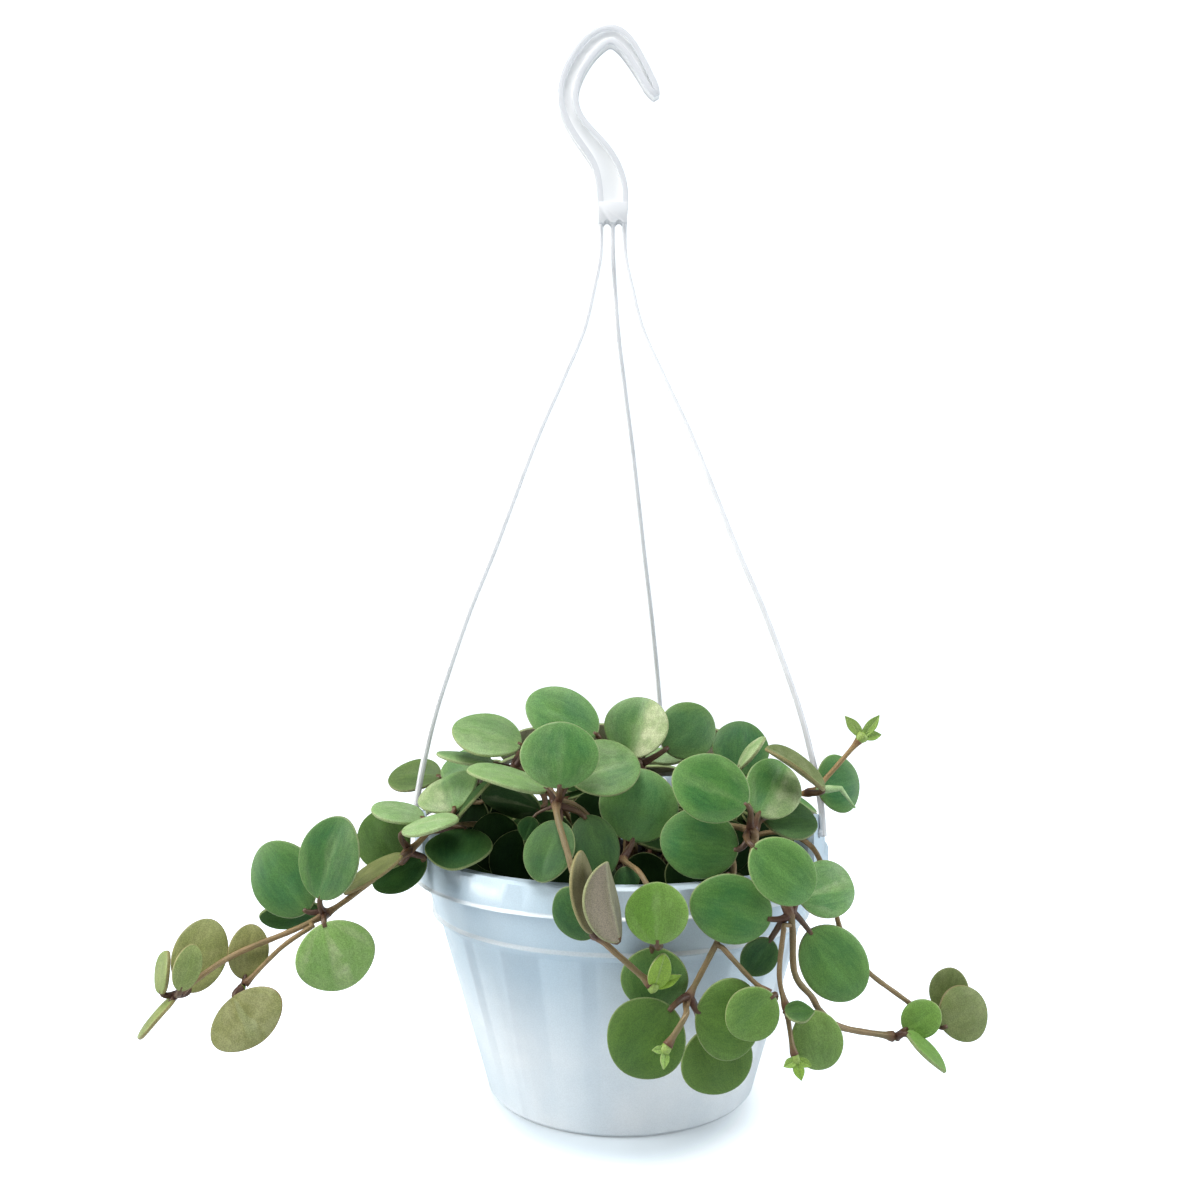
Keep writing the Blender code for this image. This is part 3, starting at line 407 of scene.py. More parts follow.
def leave():
    """Back to object mode."""
    bpy.ops.object.mode_set(mode="OBJECT")


def move_out(step):
    """Extrude what is selected by this much."""
    bpy.ops.mesh.extrude_region_move(TRANSFORM_OT_translate={"value": step})


def apply(piece, kind, **settings):
    """Add a modifier with these settings and apply it."""
    modifier = piece.modifiers.new(kind.title(), kind)
    for key, value in settings.items():
        setattr(modifier, key, value)
    choose(piece)
    bpy.ops.object.modifier_apply(modifier=modifier.name)


def place(piece):
    """Apply the piece's location, rotation and scale to its mesh."""
    choose(piece)
    bpy.ops.object.transform_apply(location=True, rotation=True, scale=True)


def combine(target, tool, operation):
    """Boolean with another piece, which is used up."""
    apply(target, "BOOLEAN", operation=operation, solver="EXACT", object=tool)
    bpy.data.objects.remove(tool, do_unlink=True)


def joined(name, *pieces):
    """Join pieces into one."""
    choose(*pieces)
    bpy.ops.object.join()
    return named(name)


def soften(piece, width, angle=50, segments=2):
    """Round the edges that are sharper than the angle."""
    apply(piece, "BEVEL", width=width * MM, segments=segments, limit_method="ANGLE",
          angle_limit=math.radians(angle))


def wear(piece, finishes, index=0):
    """Give a piece its finishes, and all its faces the one with this index."""
    piece.data.materials.clear()
    for finish in finishes:
        piece.data.materials.append(finish)
    piece.data.polygons.foreach_set("material_index", [index] * len(piece.data.polygons))


def hand_over(piece, slot, *nodes, edge=None):
    """Shade a piece smooth up to an edge angle, hang it on its body and hide the solids of its nodes; the
    slot is not used.
    """
    choose(piece)
    if edge is None:
        bpy.ops.object.shade_smooth()
    else:
        bpy.ops.object.shade_smooth_by_angle(angle=math.radians(edge))
    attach(piece, "root")
    if nodes:
        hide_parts(*nodes)


def smooth_line(points, step):
    """Points along a smooth curve through the given ones, about one for every step."""
    ends = [2 * points[0] - points[1]] + list(points) + [2 * points[-1] - points[-2]]
    line = []
    for i in range(len(points) - 1):
        a, b, c, d = ends[i:i + 4]
        count = max(1, round((c - b).length / step))
        for k in range(count):
            t = k / count
            line.append(0.5 * (2 * b + (c - a) * t + (2 * a - 5 * b + 4 * c - d) * t * t
                               + (3 * b - a - 3 * c + d) * t ** 3))
    line.append(points[-1].copy())
    return line


def across(direction, hint):
    """The part of hint that is square to direction, as a unit vector."""
    side = hint - direction * hint.dot(direction)
    if side.length < 0.05:
        side = direction.orthogonal()
    return side.normalized()


def stand(name, data):
    """Put a new object with this mesh, curve, lamp or lens in the scene."""
    thing = bpy.data.objects.new(name, data)
    bpy.context.scene.collection.objects.link(thing)
    return thing


def tubes(name, runs, resolution=2):
    """Round tubes in one mesh; each run is a list of points and radii in millimetres."""
    curve = bpy.data.curves.new(name, "CURVE")
    curve.dimensions = "3D"
    curve.bevel_depth = MM
    curve.bevel_resolution = resolution
    curve.use_fill_caps = True
    for points, radii in runs:
        spline = curve.splines.new("POLY")
        spline.points.add(len(points) - 1)
        for target, point, radius in zip(spline.points, points, radii):
            target.co = (*(point * MM), 1.0)
            target.radius = radius
        spline.use_smooth = True
    choose(stand(name, curve))
    bpy.ops.object.convert(target="MESH")
    piece = named(name)
    bpy.ops.object.mode_set(mode="EDIT")
    bpy.ops.mesh.select_all(action="SELECT")
    bpy.ops.mesh.remove_doubles(threshold=0.000001)
    leave()
    return piece


def coordinates(mesh):
    """The points of a mesh as an array."""
    flat = np.empty(len(mesh.vertices) * 3, np.float32)
    mesh.vertices.foreach_get("co", flat)
    return flat.reshape(-1, 3)


def write_attribute(mesh, name, values):
    """Store three numbers for every point of a mesh."""
    layer = mesh.attributes.new(name, "FLOAT_VECTOR", "POINT")
    layer.data.foreach_set("vector", np.ascontiguousarray(values, np.float32).ravel())


# ---------------------------------------------------------------- material helpers

class Value:
    """An output of a node, which sums can be made with."""

    def __init__(self, socket):
        self.socket = socket
        self.tree = socket.id_data

    def __add__(self, other):
        return calc("ADD", self, other)

    def __sub__(self, other):
        return calc("SUBTRACT", self, other)

    def __rsub__(self, other):
        return calc("SUBTRACT", other, self)

    def __mul__(self, other):
        return calc("MULTIPLY", self, other)

    def __truediv__(self, other):
        return calc("DIVIDE", self, other)

    def __rtruediv__(self, other):
        return calc("DIVIDE", other, self)


def connect(source, socket):
    """Link a value to a socket, or give the socket a plain number or colour."""
    if isinstance(source, Value):
        source.tree.links.new(source.socket, socket)
    else:
        socket.default_value = source


def add_node(tree, kind, inputs=None, output=0, **settings):
    """Add a node with these settings and inputs; what it gives is one of its outputs."""
    made = tree.nodes.new(kind)
    for key, value in settings.items():
        setattr(made, key, value)
    for key, value in (inputs or {}).items():
        connect(value, made.inputs[key])
    return Value(made.outputs[output])


def tree_of(*values):
    """The node tree that these values are in."""
    return next(value.tree for value in values if isinstance(value, Value))


def calc(operation, *values):
    """The result of one sum."""
    return add_node(tree_of(*values), "ShaderNodeMath", dict(enumerate(values)), operation=operation)


def span(value, low, high, start=0.0, end=1.0):
    """A value eased from start at low to end at high."""
    return add_node(value.tree, "ShaderNodeMapRange", {0: value, 1: low, 2: high, 3: start, 4: end},
                    interpolation_type="SMOOTHSTEP")


def blend(factor, low, high, mode="MIX"):
    """Two colours mixed by a factor."""
    return add_node(tree_of(factor, low, high), "ShaderNodeMix", {0: factor, 6: low, 7: high}, 2,
                    data_type="RGBA", blend_type=mode)


def layered(colour, *layers):
    """A colour with others laid over it one by one, each given as its factor and its colour."""
    for factor, over in layers:
        colour = blend(factor, colour, over)
    return colour


def scaled(colour, factor):
    """A colour made lighter or darker."""
    return add_node(colour.tree, "ShaderNodeVectorMath", {0: colour, "Scale": factor}, operation="SCALE")


def vector(x, y=0.0, z=0.0):
    """Three numbers as a vector."""
    return add_node(tree_of(x), "ShaderNodeCombineXYZ", {0: x, 1: y, 2: z})


def split(whole):
    """The three numbers of a vector."""
    first = add_node(whole.tree, "ShaderNodeSeparateXYZ", {0: whole})
    return [Value(socket) for socket in first.socket.node.outputs]


def noise(place, scale, detail=3.0, roughness=0.5):
    """Smooth noise."""
    return add_node(place.tree, "ShaderNodeTexNoise",
                    {"Vector": place, "Scale": scale, "Detail": detail, "Roughness": roughness})


def place_of(tree):
    """Object coordinates."""
    return add_node(tree, "ShaderNodeTexCoord", output="Object")


def attribute(tree, name):
    """The three numbers of an attribute."""
    return split(add_node(tree, "ShaderNodeAttribute", output="Vector", attribute_name=name))


def paint(red, green, blue):
    """A screen colour of 0 to 255 as a linear colour."""
    return (*((channel / 255) ** 2.2 for channel in (red, green, blue)), 1.0)


def new_group(name, numbers, results):
    """A node group that reads a position and these numbers; gives its inputs and its results."""
    group = bpy.data.node_groups.new(name, "ShaderNodeTree")
    group.interface.new_socket("Position", in_out="INPUT", socket_type="NodeSocketVector")
    for label, value in numbers.items():
        group.interface.new_socket(label, in_out="INPUT", socket_type="NodeSocketFloat").default_value = value
    for label in results:
        group.interface.new_socket(label, in_out="OUTPUT", socket_type="NodeSocketFloat")
    given = group.nodes.new("NodeGroupInput").outputs
    wanted = group.nodes.new("NodeGroupOutput").inputs
    return [Value(given[label]) for label in ("Position", *numbers)], wanted


def build_mottle():
    """Soft cloudy variation of a given size in millimetres."""
    (position, size, low, high), results = new_group("soft_mottle", {"Size": 10.0, "Low": 0.3, "High": 0.7},
                                                     ("Value",))
    connect(span(noise(position, 1 / MM / size), low, high), results["Value"])


def build_grain():
    """Fine grain as a height and as light and dark specks."""
    (position, size), results = new_group("fine_grain", {"Size": 0.6}, ("Height", "Speck"))
    scale = 1 / MM / size
    grain = noise(position, scale, 4.0)
    cells = add_node(position.tree, "ShaderNodeTexVoronoi", {"Vector": position, "Scale": scale})
    connect(grain + cells * 0.5, results["Height"])
    connect(span(grain, 0.35, 0.65), results["Speck"])


def mottled(position, size, low=0.3, high=0.7):
    """Soft clouds of this size in millimetres."""
    given = {"Position": position, "Size": size, "Low": low, "High": high}
    return add_node(position.tree, "ShaderNodeGroup", given, node_tree=bpy.data.node_groups["soft_mottle"])


def grained(position, size):
    """The height and the specks of grain of this size in millimetres."""
    given = {"Position": position, "Size": size}
    height = add_node(position.tree, "ShaderNodeGroup", given, node_tree=bpy.data.node_groups["fine_grain"])
    return height, Value(height.socket.node.outputs["Speck"])


def new_finish(name):
    """A material and its Object coordinates."""
    finish = bpy.data.materials.new(name)
    finish.use_nodes = True
    return finish, place_of(finish.node_tree)


def shader_of(finish):
    """The inputs of a material's shader."""
    return finish.node_tree.nodes["Principled BSDF"].inputs


def complete(finish, colour, roughness, height, strength, depth):
    """Feed its colour, roughness and fine bumps to a material's shader."""
    shader = shader_of(finish)
    connect(colour, shader["Base Color"])
    connect(roughness, shader["Roughness"])
    bumps = {"Height": height, "Strength": strength, "Distance": depth}
    connect(add_node(finish.node_tree, "ShaderNodeBump", bumps), shader["Normal"])
    return finish


# ---------------------------------------------------------------- finishes

def leaf_veins(along_u, along_v, patch, chance):
    """Veins that follow the shape of the blade, a brushed pattern along them, and their wander."""
    wander = (patch - 0.5) * 1.1
    room = calc("SQRT", calc("MAXIMUM", 1.06 - along_v * along_v, 0.03))
    lane = along_u / room * LEAF_VEINS
    veins = (calc("COSINE", lane + wander) + 1.0) * 0.5
    brushed = noise(vector(lane, along_v * 1.6, chance * 40.0), 1.5, 5.0, 0.65)
    return veins, span(brushed, 0.32, 0.68), wander


def leaf_marks(along_u, along_v, reach, wander):
    """How pale the marks of a leaf are: painted light on its left half and its right half, and its own pale
    rays along its veins.
    """
    left, right, streak = attribute(reach.tree, "mark")
    lit_halves = calc("MAXIMUM", left * span(along_u, -0.3, 0.06, 1.0, 0.0), right * span(along_u, -0.06, 0.3))
    ray = calc("ARCTAN2", along_u, along_v + 1.15)
    rays = span(calc("COSINE", ray * 9.0 + wander * 0.5), 0.1, 1.0) * span(reach, 0.35, 1.0, 1.0, 0.25)
    return calc("MAXIMUM", lit_halves, streak * rays)


def leaf_finish(name, gloss):
    """Thick satin leaf: soft veins, lighter margins, thin rim, dull underside, fine grain, and painted light
    and painted shade on single leaves.
    """
    finish, position = new_finish(name)
    along_u, along_v, top = attribute(position.tree, "blade")
    pale, olive, young = attribute(position.tree, "tone")
    painted_shade, chance, crease = attribute(position.tree, "shade")
    cloud = mottled(position, 13.0, 0.32, 0.68)
    patch = mottled(position, 4.0)
    grain, speck = grained(position, 0.32)
    reach = calc("SQRT", along_u * along_u + along_v * along_v)
    veins, brushed, wander = leaf_veins(along_u, along_v, patch, chance)
    fade = span(along_v, -0.9, 0.9, 1.0, 0.35)

    green = layered(
        blend(cloud, paint(58, 116, 58), paint(84, 134, 58)),
        (chance, blend(cloud, paint(62, 122, 72), paint(74, 126, 56))),
        ((1.0 - veins) * fade * 0.35, paint(44, 92, 46)), (veins * veins * fade * 0.2, paint(116, 160, 86)),
        (brushed * 0.2, paint(108, 150, 78)), (span(reach, 0.55, 1.0, 0.0, 0.45), paint(118, 158, 86)),
        (young * 0.85, paint(142, 180, 58)))
    under = blend(veins * brushed, paint(158, 144, 126), paint(132, 124, 100))
    under = blend(young * 0.6, under, paint(160, 176, 84))
    midrib = span(calc("ABSOLUTE", along_u), 0.02, 0.12, 1.0, 0.0)
    marks = leaf_marks(along_u, along_v, reach, wander) * span(patch, 0.0, 1.0, 0.72, 0.92)
    # Painted light: paleness, and the pale halves of the marks, where a leaf faces the light; the olive, the
    # rays along the veins and the midrib are the leaf's own
    colour = layered(
        blend(top, under, green),
        (olive * 0.85, blend(patch, paint(148, 142, 84), paint(168, 160, 104))),
        (pale * 0.8, blend(patch, paint(160, 192, 132), paint(184, 208, 156))),
        (marks, blend(patch, paint(170, 182, 132), paint(200, 206, 162))),
        (midrib * crease, paint(206, 212, 170)))
    # Painted shade: the more shade a leaf's look gives, the more its colour is multiplied towards deep green
    colour = blend(painted_shade, colour, paint(38, 64, 38), "MULTIPLY")
    rim = blend(olive, paint(158, 172, 116), paint(150, 108, 74))
    colour = blend(span(reach, 0.945, 0.99) * 0.65, colour, rim)
    tint = span(speck, 0.0, 1.0, 0.82, 1.14) * span(brushed, 0.0, 1.0, 0.92, 1.04)

    shader_of(finish)["Specular IOR Level"].default_value = gloss
    roughness = span(cloud, 0.0, 1.0, 0.4, 0.5) + painted_shade * 0.3
    return complete(finish, scaled(colour, tint), roughness, grain * 0.3 + veins * 0.5, 0.35, 0.0004)


def stalk_finish():
    """Reddish leaf stalks."""
    finish, position = new_finish("stalk_red")
    cloud = mottled(position, 3.0)
    grain, speck = grained(position, 0.4)
    knot, _, _ = attribute(position.tree, "shade")
    _, _, young = attribute(position.tree, "tone")
    colour = layered(
        blend(cloud, paint(72, 52, 34), paint(96, 72, 46)),
        (young * 0.7, paint(150, 150, 84)), (knot * 0.9, paint(74, 43, 33)),
        (speck * 0.25, paint(118, 92, 68)))
    return complete(finish, colour, 0.45, grain, 0.3, 0.0002)


def stem_finish():
    """Brown olive stems with light streaks and reddish swollen nodes."""
    finish, position = new_finish("stem_brown")
    along, around, knot = attribute(position.tree, "run")
    sprout, _, _ = attribute(position.tree, "age")
    cloud = mottled(position, 7.0)
    grain, speck = grained(position, 0.5)
    streaks = noise(vector(along * 0.06, around * 3.0), 1.0)
    colour = layered(
        blend(cloud, paint(118, 106, 70), paint(136, 112, 78)),
        (sprout, blend(cloud, paint(150, 118, 72), paint(172, 140, 88))),
        (span(streaks, 0.5, 0.72, 0.0, 0.6), paint(196, 172, 132)),
        (knot * 0.8, paint(92, 50, 38)), (speck * 0.25, paint(92, 70, 48)))
    return complete(finish, colour, 0.5, grain + streaks * 1.5, 0.4, 0.0003)


def pot_finish():
    """Cool white plastic: broad clouds of blue grey, faint upright flow lines and small marks, with painted
    shade towards the top and painted highlights on the two beads.
    """
    finish, position = new_finish("pot_white")
    x, y, z = split(position)
    fine = mottled(position, 6.0)
    grain, speck = grained(position, 0.4)
    flow = noise(vector(calc("ARCTAN2", x, y) * 4.0, z * 10.0), 1.6)
    colour = layered(
        blend(mottled(position, 60.0), paint(222, 234, 242), paint(248, 251, 253)),
        (span(flow, 0.3, 0.8, 0.0, 0.15), paint(255, 255, 255)), (fine * 0.15, paint(222, 232, 240)))
    # Painted shade: greyer towards the top, below the lip and the leaves, apart from the two beads, which
    # keep a painted highlight
    beads = [span(calc("ABSOLUTE", z - (edge + 0.5) * MM), 0.3 * MM, 0.9 * MM)
             for edge in (BAND_BOTTOM, LIP_BOTTOM)]
    grey = span(z, 25 * MM, 60 * MM, 0.0, 0.8) * calc("MINIMUM", *beads)
    colour = blend(grey, colour, paint(206, 222, 232), "MULTIPLY")
    colour = scaled(colour, span(speck, 0.0, 1.0, 0.96, 1.02))
    return complete(finish, colour, span(fine, 0.0, 1.0, 0.28, 0.4), grain, 0.08, 0.0002)


def hanger_finish():
    """Moulded white plastic of the hanger, with painted shade that greys the hook a little and painted light
    on the web of the hook.
    """
    finish, position = new_finish("hanger_white")
    _, y, z = split(position)
    cloud = mottled(position, 9.0)
    grain, _ = grained(position, 0.7)
    hook = calc("GREATER_THAN", z, (BLOCK_CENTRE[1] + BLOCK_SIZE[2] / 2) * MM)
    web = span(calc("ABSOLUTE", y), (HOOK_WEB / 2 + 0.1) * MM, (HOOK_WEB / 2 + 0.5) * MM, 1.0, 0.0)
    # Painted shade greys the hook a little, and painted light makes the web between its rails the lightest,
    # against the shade the rails cast
    colour = layered(
        blend(cloud, paint(224, 224, 226), paint(233, 233, 235)),
        (hook * 0.7, paint(219, 220, 224)), (web * hook, paint(253, 253, 253)))
    return complete(finish, colour, span(cloud, 0.0, 1.0, 0.3, 0.4), grain, 0.1, 0.0002)


def soil_finish():
    """Dark damp compost with darker specks."""
    finish, position = new_finish("soil_dark")
    grain, speck = grained(position, 1.4)
    colour = blend(mottled(position, 6.0), paint(34, 26, 19), paint(60, 45, 33))
    colour = blend(speck * 0.5, colour, paint(22, 17, 13))
    return complete(finish, colour, 0.92, grain, 0.9, 0.0012)


# ---------------------------------------------------------------- pot, hanger and soil

def outward_of(direction):
    """The unit vector from the middle of the pot towards an ear."""
    angle = math.radians(direction)
    return Vector((math.sin(angle), math.cos(angle), 0))


def pot_profile():
    """Outline of the pot's wall: up the outside, round the lip, down the inside."""
    inner_base = BASE_RADIUS - WALL
    return [
        (0, 0), (BASE_RADIUS - CORNER, 0), (BASE_RADIUS, CORNER), (BODY_TOP_RADIUS - 0.6, BAND_BOTTOM - 2.6),
        (BAND_BOTTOM_RADIUS + BEAD, BAND_BOTTOM - 0.4), (BAND_BOTTOM_RADIUS + BEAD, BAND_BOTTOM + 0.1),
        (BAND_BOTTOM_RADIUS + 0.1, BAND_BOTTOM + 1.0), (BAND_TOP_RADIUS, LIP_BOTTOM),
        (BAND_TOP_RADIUS + 0.4, LIP_TOP - WALL), (LIP_RADIUS - LIP_SKIRT, LIP_TOP - WALL),
        (LIP_RADIUS - LIP_SKIRT, LIP_BOTTOM), (LIP_RADIUS + BEAD / 2, LIP_BOTTOM),
        (LIP_RADIUS + BEAD / 2, LIP_BOTTOM + 0.4), (LIP_RADIUS - 0.3, LIP_BOTTOM + 1.1),
        (LIP_RADIUS - 0.3, LIP_TOP - 1.0), (LIP_RADIUS - CORNER, LIP_TOP), (BAND_TOP_RADIUS, LIP_TOP),
        (BAND_TOP_RADIUS - WALL + 0.4, LIP_TOP - CORNER), (BAND_TOP_RADIUS - WALL, LIP_BOTTOM),
        (BAND_BOTTOM_RADIUS - WALL, BAND_BOTTOM), (BODY_TOP_RADIUS - WALL, BAND_BOTTOM - 1.6),
        (inner_base, FLOOR + 1.0), (inner_base - 1.0, FLOOR), (0, FLOOR),
    ]


def turned(name, profile, steps):
    """Spin an outline of radius and height about the Z axis and close it at the poles."""
    deselect()
    bpy.ops.mesh.primitive_circle_add(vertices=len(profile), radius=1.0, fill_type="NOTHING")
    piece = named(name)
    for vertex, (radius, height) in zip(piece.data.vertices, profile):
        vertex.co = (radius * MM, 0, height * MM)
    pick(piece, "EDGE", lambda edge: {edge.vertices[0], edge.vertices[1]} == {0, len(profile) - 1})
    bpy.ops.mesh.delete(type="EDGE")
    bpy.ops.mesh.select_mode(type="VERT")
    bpy.ops.mesh.select_all(action="SELECT")
    bpy.ops.mesh.spin(steps=steps, angle=2 * math.pi, center=(0, 0, 0), axis=(0, 0, 1))
    bpy.ops.mesh.select_all(action="SELECT")
    bpy.ops.mesh.remove_doubles(threshold=0.00001)
    bpy.ops.mesh.normals_make_consistent(inside=False)
    leave()
    return piece


def bar(name, start, end, radius, sides):
    """A straight round bar between two points."""
    start, end = Vector(start) * MM, Vector(end) * MM
    deselect()
    bpy.ops.mesh.primitive_cylinder_add(vertices=sides, radius=radius * MM, depth=(end - start).length,
                                        location=(start + end) / 2,
                                        rotation=(end - start).to_track_quat("Z", "Y").to_euler())
    piece = named(name)
    place(piece)
    return piece


def box(name, centre, size, turn=0.0):
    """A block with this middle and these lengths, turned about an upright axis."""
    deselect()
    bpy.ops.mesh.primitive_cube_add(size=1.0, location=Vector(centre) * MM, rotation=(0, 0, turn),
                                    scale=[length * MM for length in size])
    piece = named(name)
    place(piece)
    return piece


def ear_bar(name, direction, inner, outer, radius, sides):
    """A round bar through the middle of an ear, from one distance out to another."""
    outward = outward_of(direction)
    height = Vector((0, 0, EAR_CENTRE))
    return bar(name, outward * inner + height, outward * outer + height, radius, sides)


def ear_tab(direction):
    """A tab with a round top that stands on the lip."""
    outward = outward_of(direction)
    tab = ear_bar("tab", direction, EAR_INNER, EAR_OUTER, EAR_HALF_WIDTH, 48)
    middle = outward * (EAR_INNER + EAR_OUTER) / 2 + Vector((0, 0, (EAR_FOOT + EAR_CENTRE) / 2))
    size = (EAR_OUTER - EAR_INNER, 2 * EAR_HALF_WIDTH, EAR_CENTRE - EAR_FOOT)
    combine(tab, box("foot", middle, size, math.atan2(outward.y, outward.x)), "UNION")
    combine(tab, ear_bar("hole", direction, EAR_INNER - 2, EAR_OUTER + 2, EAR_HOLE_RADIUS, 32), "DIFFERENCE")
    soften(tab, 0.35)
    return tab


def make_pot(finish):
    """The pot with its lip, band, drain holes and the three ears."""
    pot = turned("pot_shell", pot_profile(), POT_SIDES)
    for k in range(DRAIN_COUNT):
        angle = 2 * math.pi * (k + DRAIN_TURN) / DRAIN_COUNT
        x, y = DRAIN_RING * math.cos(angle), DRAIN_RING * math.sin(angle)
        combine(pot, bar("drain", (x, y, -1), (x, y, FLOOR + 1), DRAIN_RADIUS, 24), "DIFFERENCE")
    soften(pot, 0.3, 28, 3)
    for direction in EAR_DIRECTIONS:
        combine(pot, ear_tab(direction), "UNION")
    wear(pot, [finish])
    hand_over(pot, "pot_plastic", "pot", edge=32)


def hook_outline():
    """The left and right edges of the hook's band, along its smoothed middle line."""
    marks = [Vector((x, 0, z)) for x, z, _ in HOOK_LINE]
    centre = smooth_line(marks, HOOK_STEP)
    left, right = [], []
    for i, point in enumerate(centre):
        ahead = (centre[min(i + 1, len(centre) - 1)] - centre[max(i - 1, 0)]).normalized()
        side = Vector((-ahead.z, 0, ahead.x))
        near = sorted(range(len(marks)), key=lambda k: (marks[k] - point).length)[:2]
        far = [(marks[k] - point).length for k in near]
        share = far[0] / max(far[0] + far[1], 0.001)
        half = (HOOK_LINE[near[0]][2] * (1 - share) + HOOK_LINE[near[1]][2] * share) / 2
        half *= HOOK_TIP[min(len(centre) - 1 - i, len(HOOK_TIP) - 1)]
        left.append(point + side * half)
        right.append(point - side * half)
    for _ in range(HOOK_SMOOTHING):
        for edge in (left, right):
            edge[2:-4] = [(a + 2 * b + c) / 4 for a, b, c in zip(edge[1:], edge[2:-4], edge[3:])]
    return left, right


def make_hook():
    """The hook: a bent band with a recess between two rails on both faces."""
    left, right = hook_outline()
    count = len(left)
    deselect()
    bpy.ops.mesh.primitive_grid_add(x_subdivisions=1, y_subdivisions=count - 1, size=1.0)
    hook = named("hook")
    points = sorted(hook.data.vertices, key=lambda v: (round(v.co.y, 6), v.co.x))
    front = Vector((0, HOOK_DEPTH / 2 * MM, 0))
    for i in range(count):
        points[2 * i].co = left[i] * MM - front
        points[2 * i + 1].co = right[i] * MM - front
    pick(hook, "FACE", lambda face: True)
    move_out((0, HOOK_DEPTH * MM, 0))
    bpy.ops.mesh.select_all(action="SELECT")
    bpy.ops.mesh.normals_make_consistent(inside=False)
    leave()
    near_face = 0.9 * HOOK_DEPTH / 2 * MM
    for side in (-1, 1):
        pick(hook, "FACE", lambda face: face.normal.y * side > 0.9 and abs(face.center.y) > near_face)
        bpy.ops.mesh.inset(thickness=HOOK_RAIL * MM, use_boundary=True, use_even_offset=True)
        move_out((0, -side * (HOOK_DEPTH - HOOK_WEB) / 2 * MM, 0))
        leave()
    soften(hook, 0.25, 45)
    return hook


def make_block():
    """The block under the hook with rounded notches between the strands."""
    block = box("block", (BLOCK_CENTRE[0], 0, BLOCK_CENTRE[1]), BLOCK_SIZE)
    low = BLOCK_CENTRE[1] - BLOCK_SIZE[2] / 2
    for share in (-0.5, 0.5):
        x = BLOCK_CENTRE[0] + share * STRAND_ROOTS[2]
        ends = [(x, y, low - 0.2) for y in (-BLOCK_SIZE[0], BLOCK_SIZE[0])]
        combine(block, bar("notch", *ends, NOTCH_RADIUS, 24), "DIFFERENCE")
    soften(block, 0.4)
    return block


def strand_points(root, direction):
    """The middle line of a strand from the block down to its peg."""
    top = Vector((BLOCK_CENTRE[0] + root, 0, STRAND_ROOT_Z))
    end = outward_of(direction) * STRAND_END_RADIUS
    points = [top, top - Vector((0, 0, STRAND_DROP))]
    for share, height in STRAND_FALL:
        point = top.lerp(end, share)
        points.append(Vector((point.x, point.y, height)))
    points.append(end + Vector((0, 0, EAR_CENTRE - STRAND_END_DROP)))
    return smooth_line(points, STRAND_STEP)


def make_hanger(finish):
    """The moulded hanger: hook, block, three strands and their pegs."""
    parts = [make_hook(), make_block()]
    runs = []
    for root, direction in zip(STRAND_ROOTS, EAR_DIRECTIONS):
        line = strand_points(root, direction)
        radii = [STRAND_RADIUS * (0.88 + 0.36 * (i / len(line)) ** 2) for i in range(len(line))]
        runs.append((line, radii))
    parts.append(tubes("strands", runs, 3))
    end = EAR_INNER - GAP
    for direction in EAR_DIRECTIONS:
        parts.append(ear_bar("peg", direction, end - PEG_HEAD_LENGTH / 2, STRAND_END_RADIUS, PEG_RADIUS, 20))
        head = ear_bar("head", direction, end - PEG_HEAD_LENGTH, end, PEG_HEAD_RADIUS, 24)
        soften(head, 0.4)
        parts.append(head)
    hanger = joined("hanger_moulding", *parts)
    wear(hanger, [finish])
    hand_over(hanger, "hanger_plastic", "hanger", edge=25)


def make_soil(finish):
    """Loose compost: a lumpy surface with crumbs lying on it."""
    deselect()
    low = FLOOR + GAP
    bpy.ops.mesh.primitive_cylinder_add(vertices=72, radius=SOIL_RADIUS * MM, depth=(SOIL_TOP - low) * MM,
                                        location=(0, 0, (SOIL_TOP + low) / 2 * MM))
    soil = named("soil_bed")
    place(soil)
    pick(soil, "FACE", lambda face: face.normal.z > 0.9)
    for _ in range(SOIL_RINGS):
        bpy.ops.mesh.inset(thickness=SOIL_RADIUS / (SOIL_RINGS + 1) * MM)
    bpy.ops.mesh.poke()
    leave()
    rng = random.Random(SOIL_SEED)
    waves = [(rng.uniform(0.05, 0.4), rng.uniform(0, FULL_TURN), rng.uniform(0, FULL_TURN))
             for _ in range(SOIL_WAVES)]
    points = coordinates(soil.data) / MM
    x, y = points[:, 0], points[:, 1]
    lump = sum(np.sin(k * (x * math.cos(d) + y * math.sin(d)) + p) for k, d, p in waves) / SOIL_WAVES
    upper = points[:, 2] > SOIL_TOP - 1
    drop = np.where(np.hypot(x, y) > SOIL_EDGE[0], SOIL_EDGE[1], 0)
    points[:, 2] += np.where(upper, SOIL_LUMP * lump - SOIL_SINK - drop, 0)
    points[~upper, :2] *= (BASE_RADIUS - WALL - 1.0) / SOIL_RADIUS
    soil.data.vertices.foreach_set("co", (points * MM).ravel())
    soil = joined("soil_bed", soil, *make_crumbs(rng))
    wear(soil, [finish])
    hand_over(soil, "soil", "soil", edge=60)


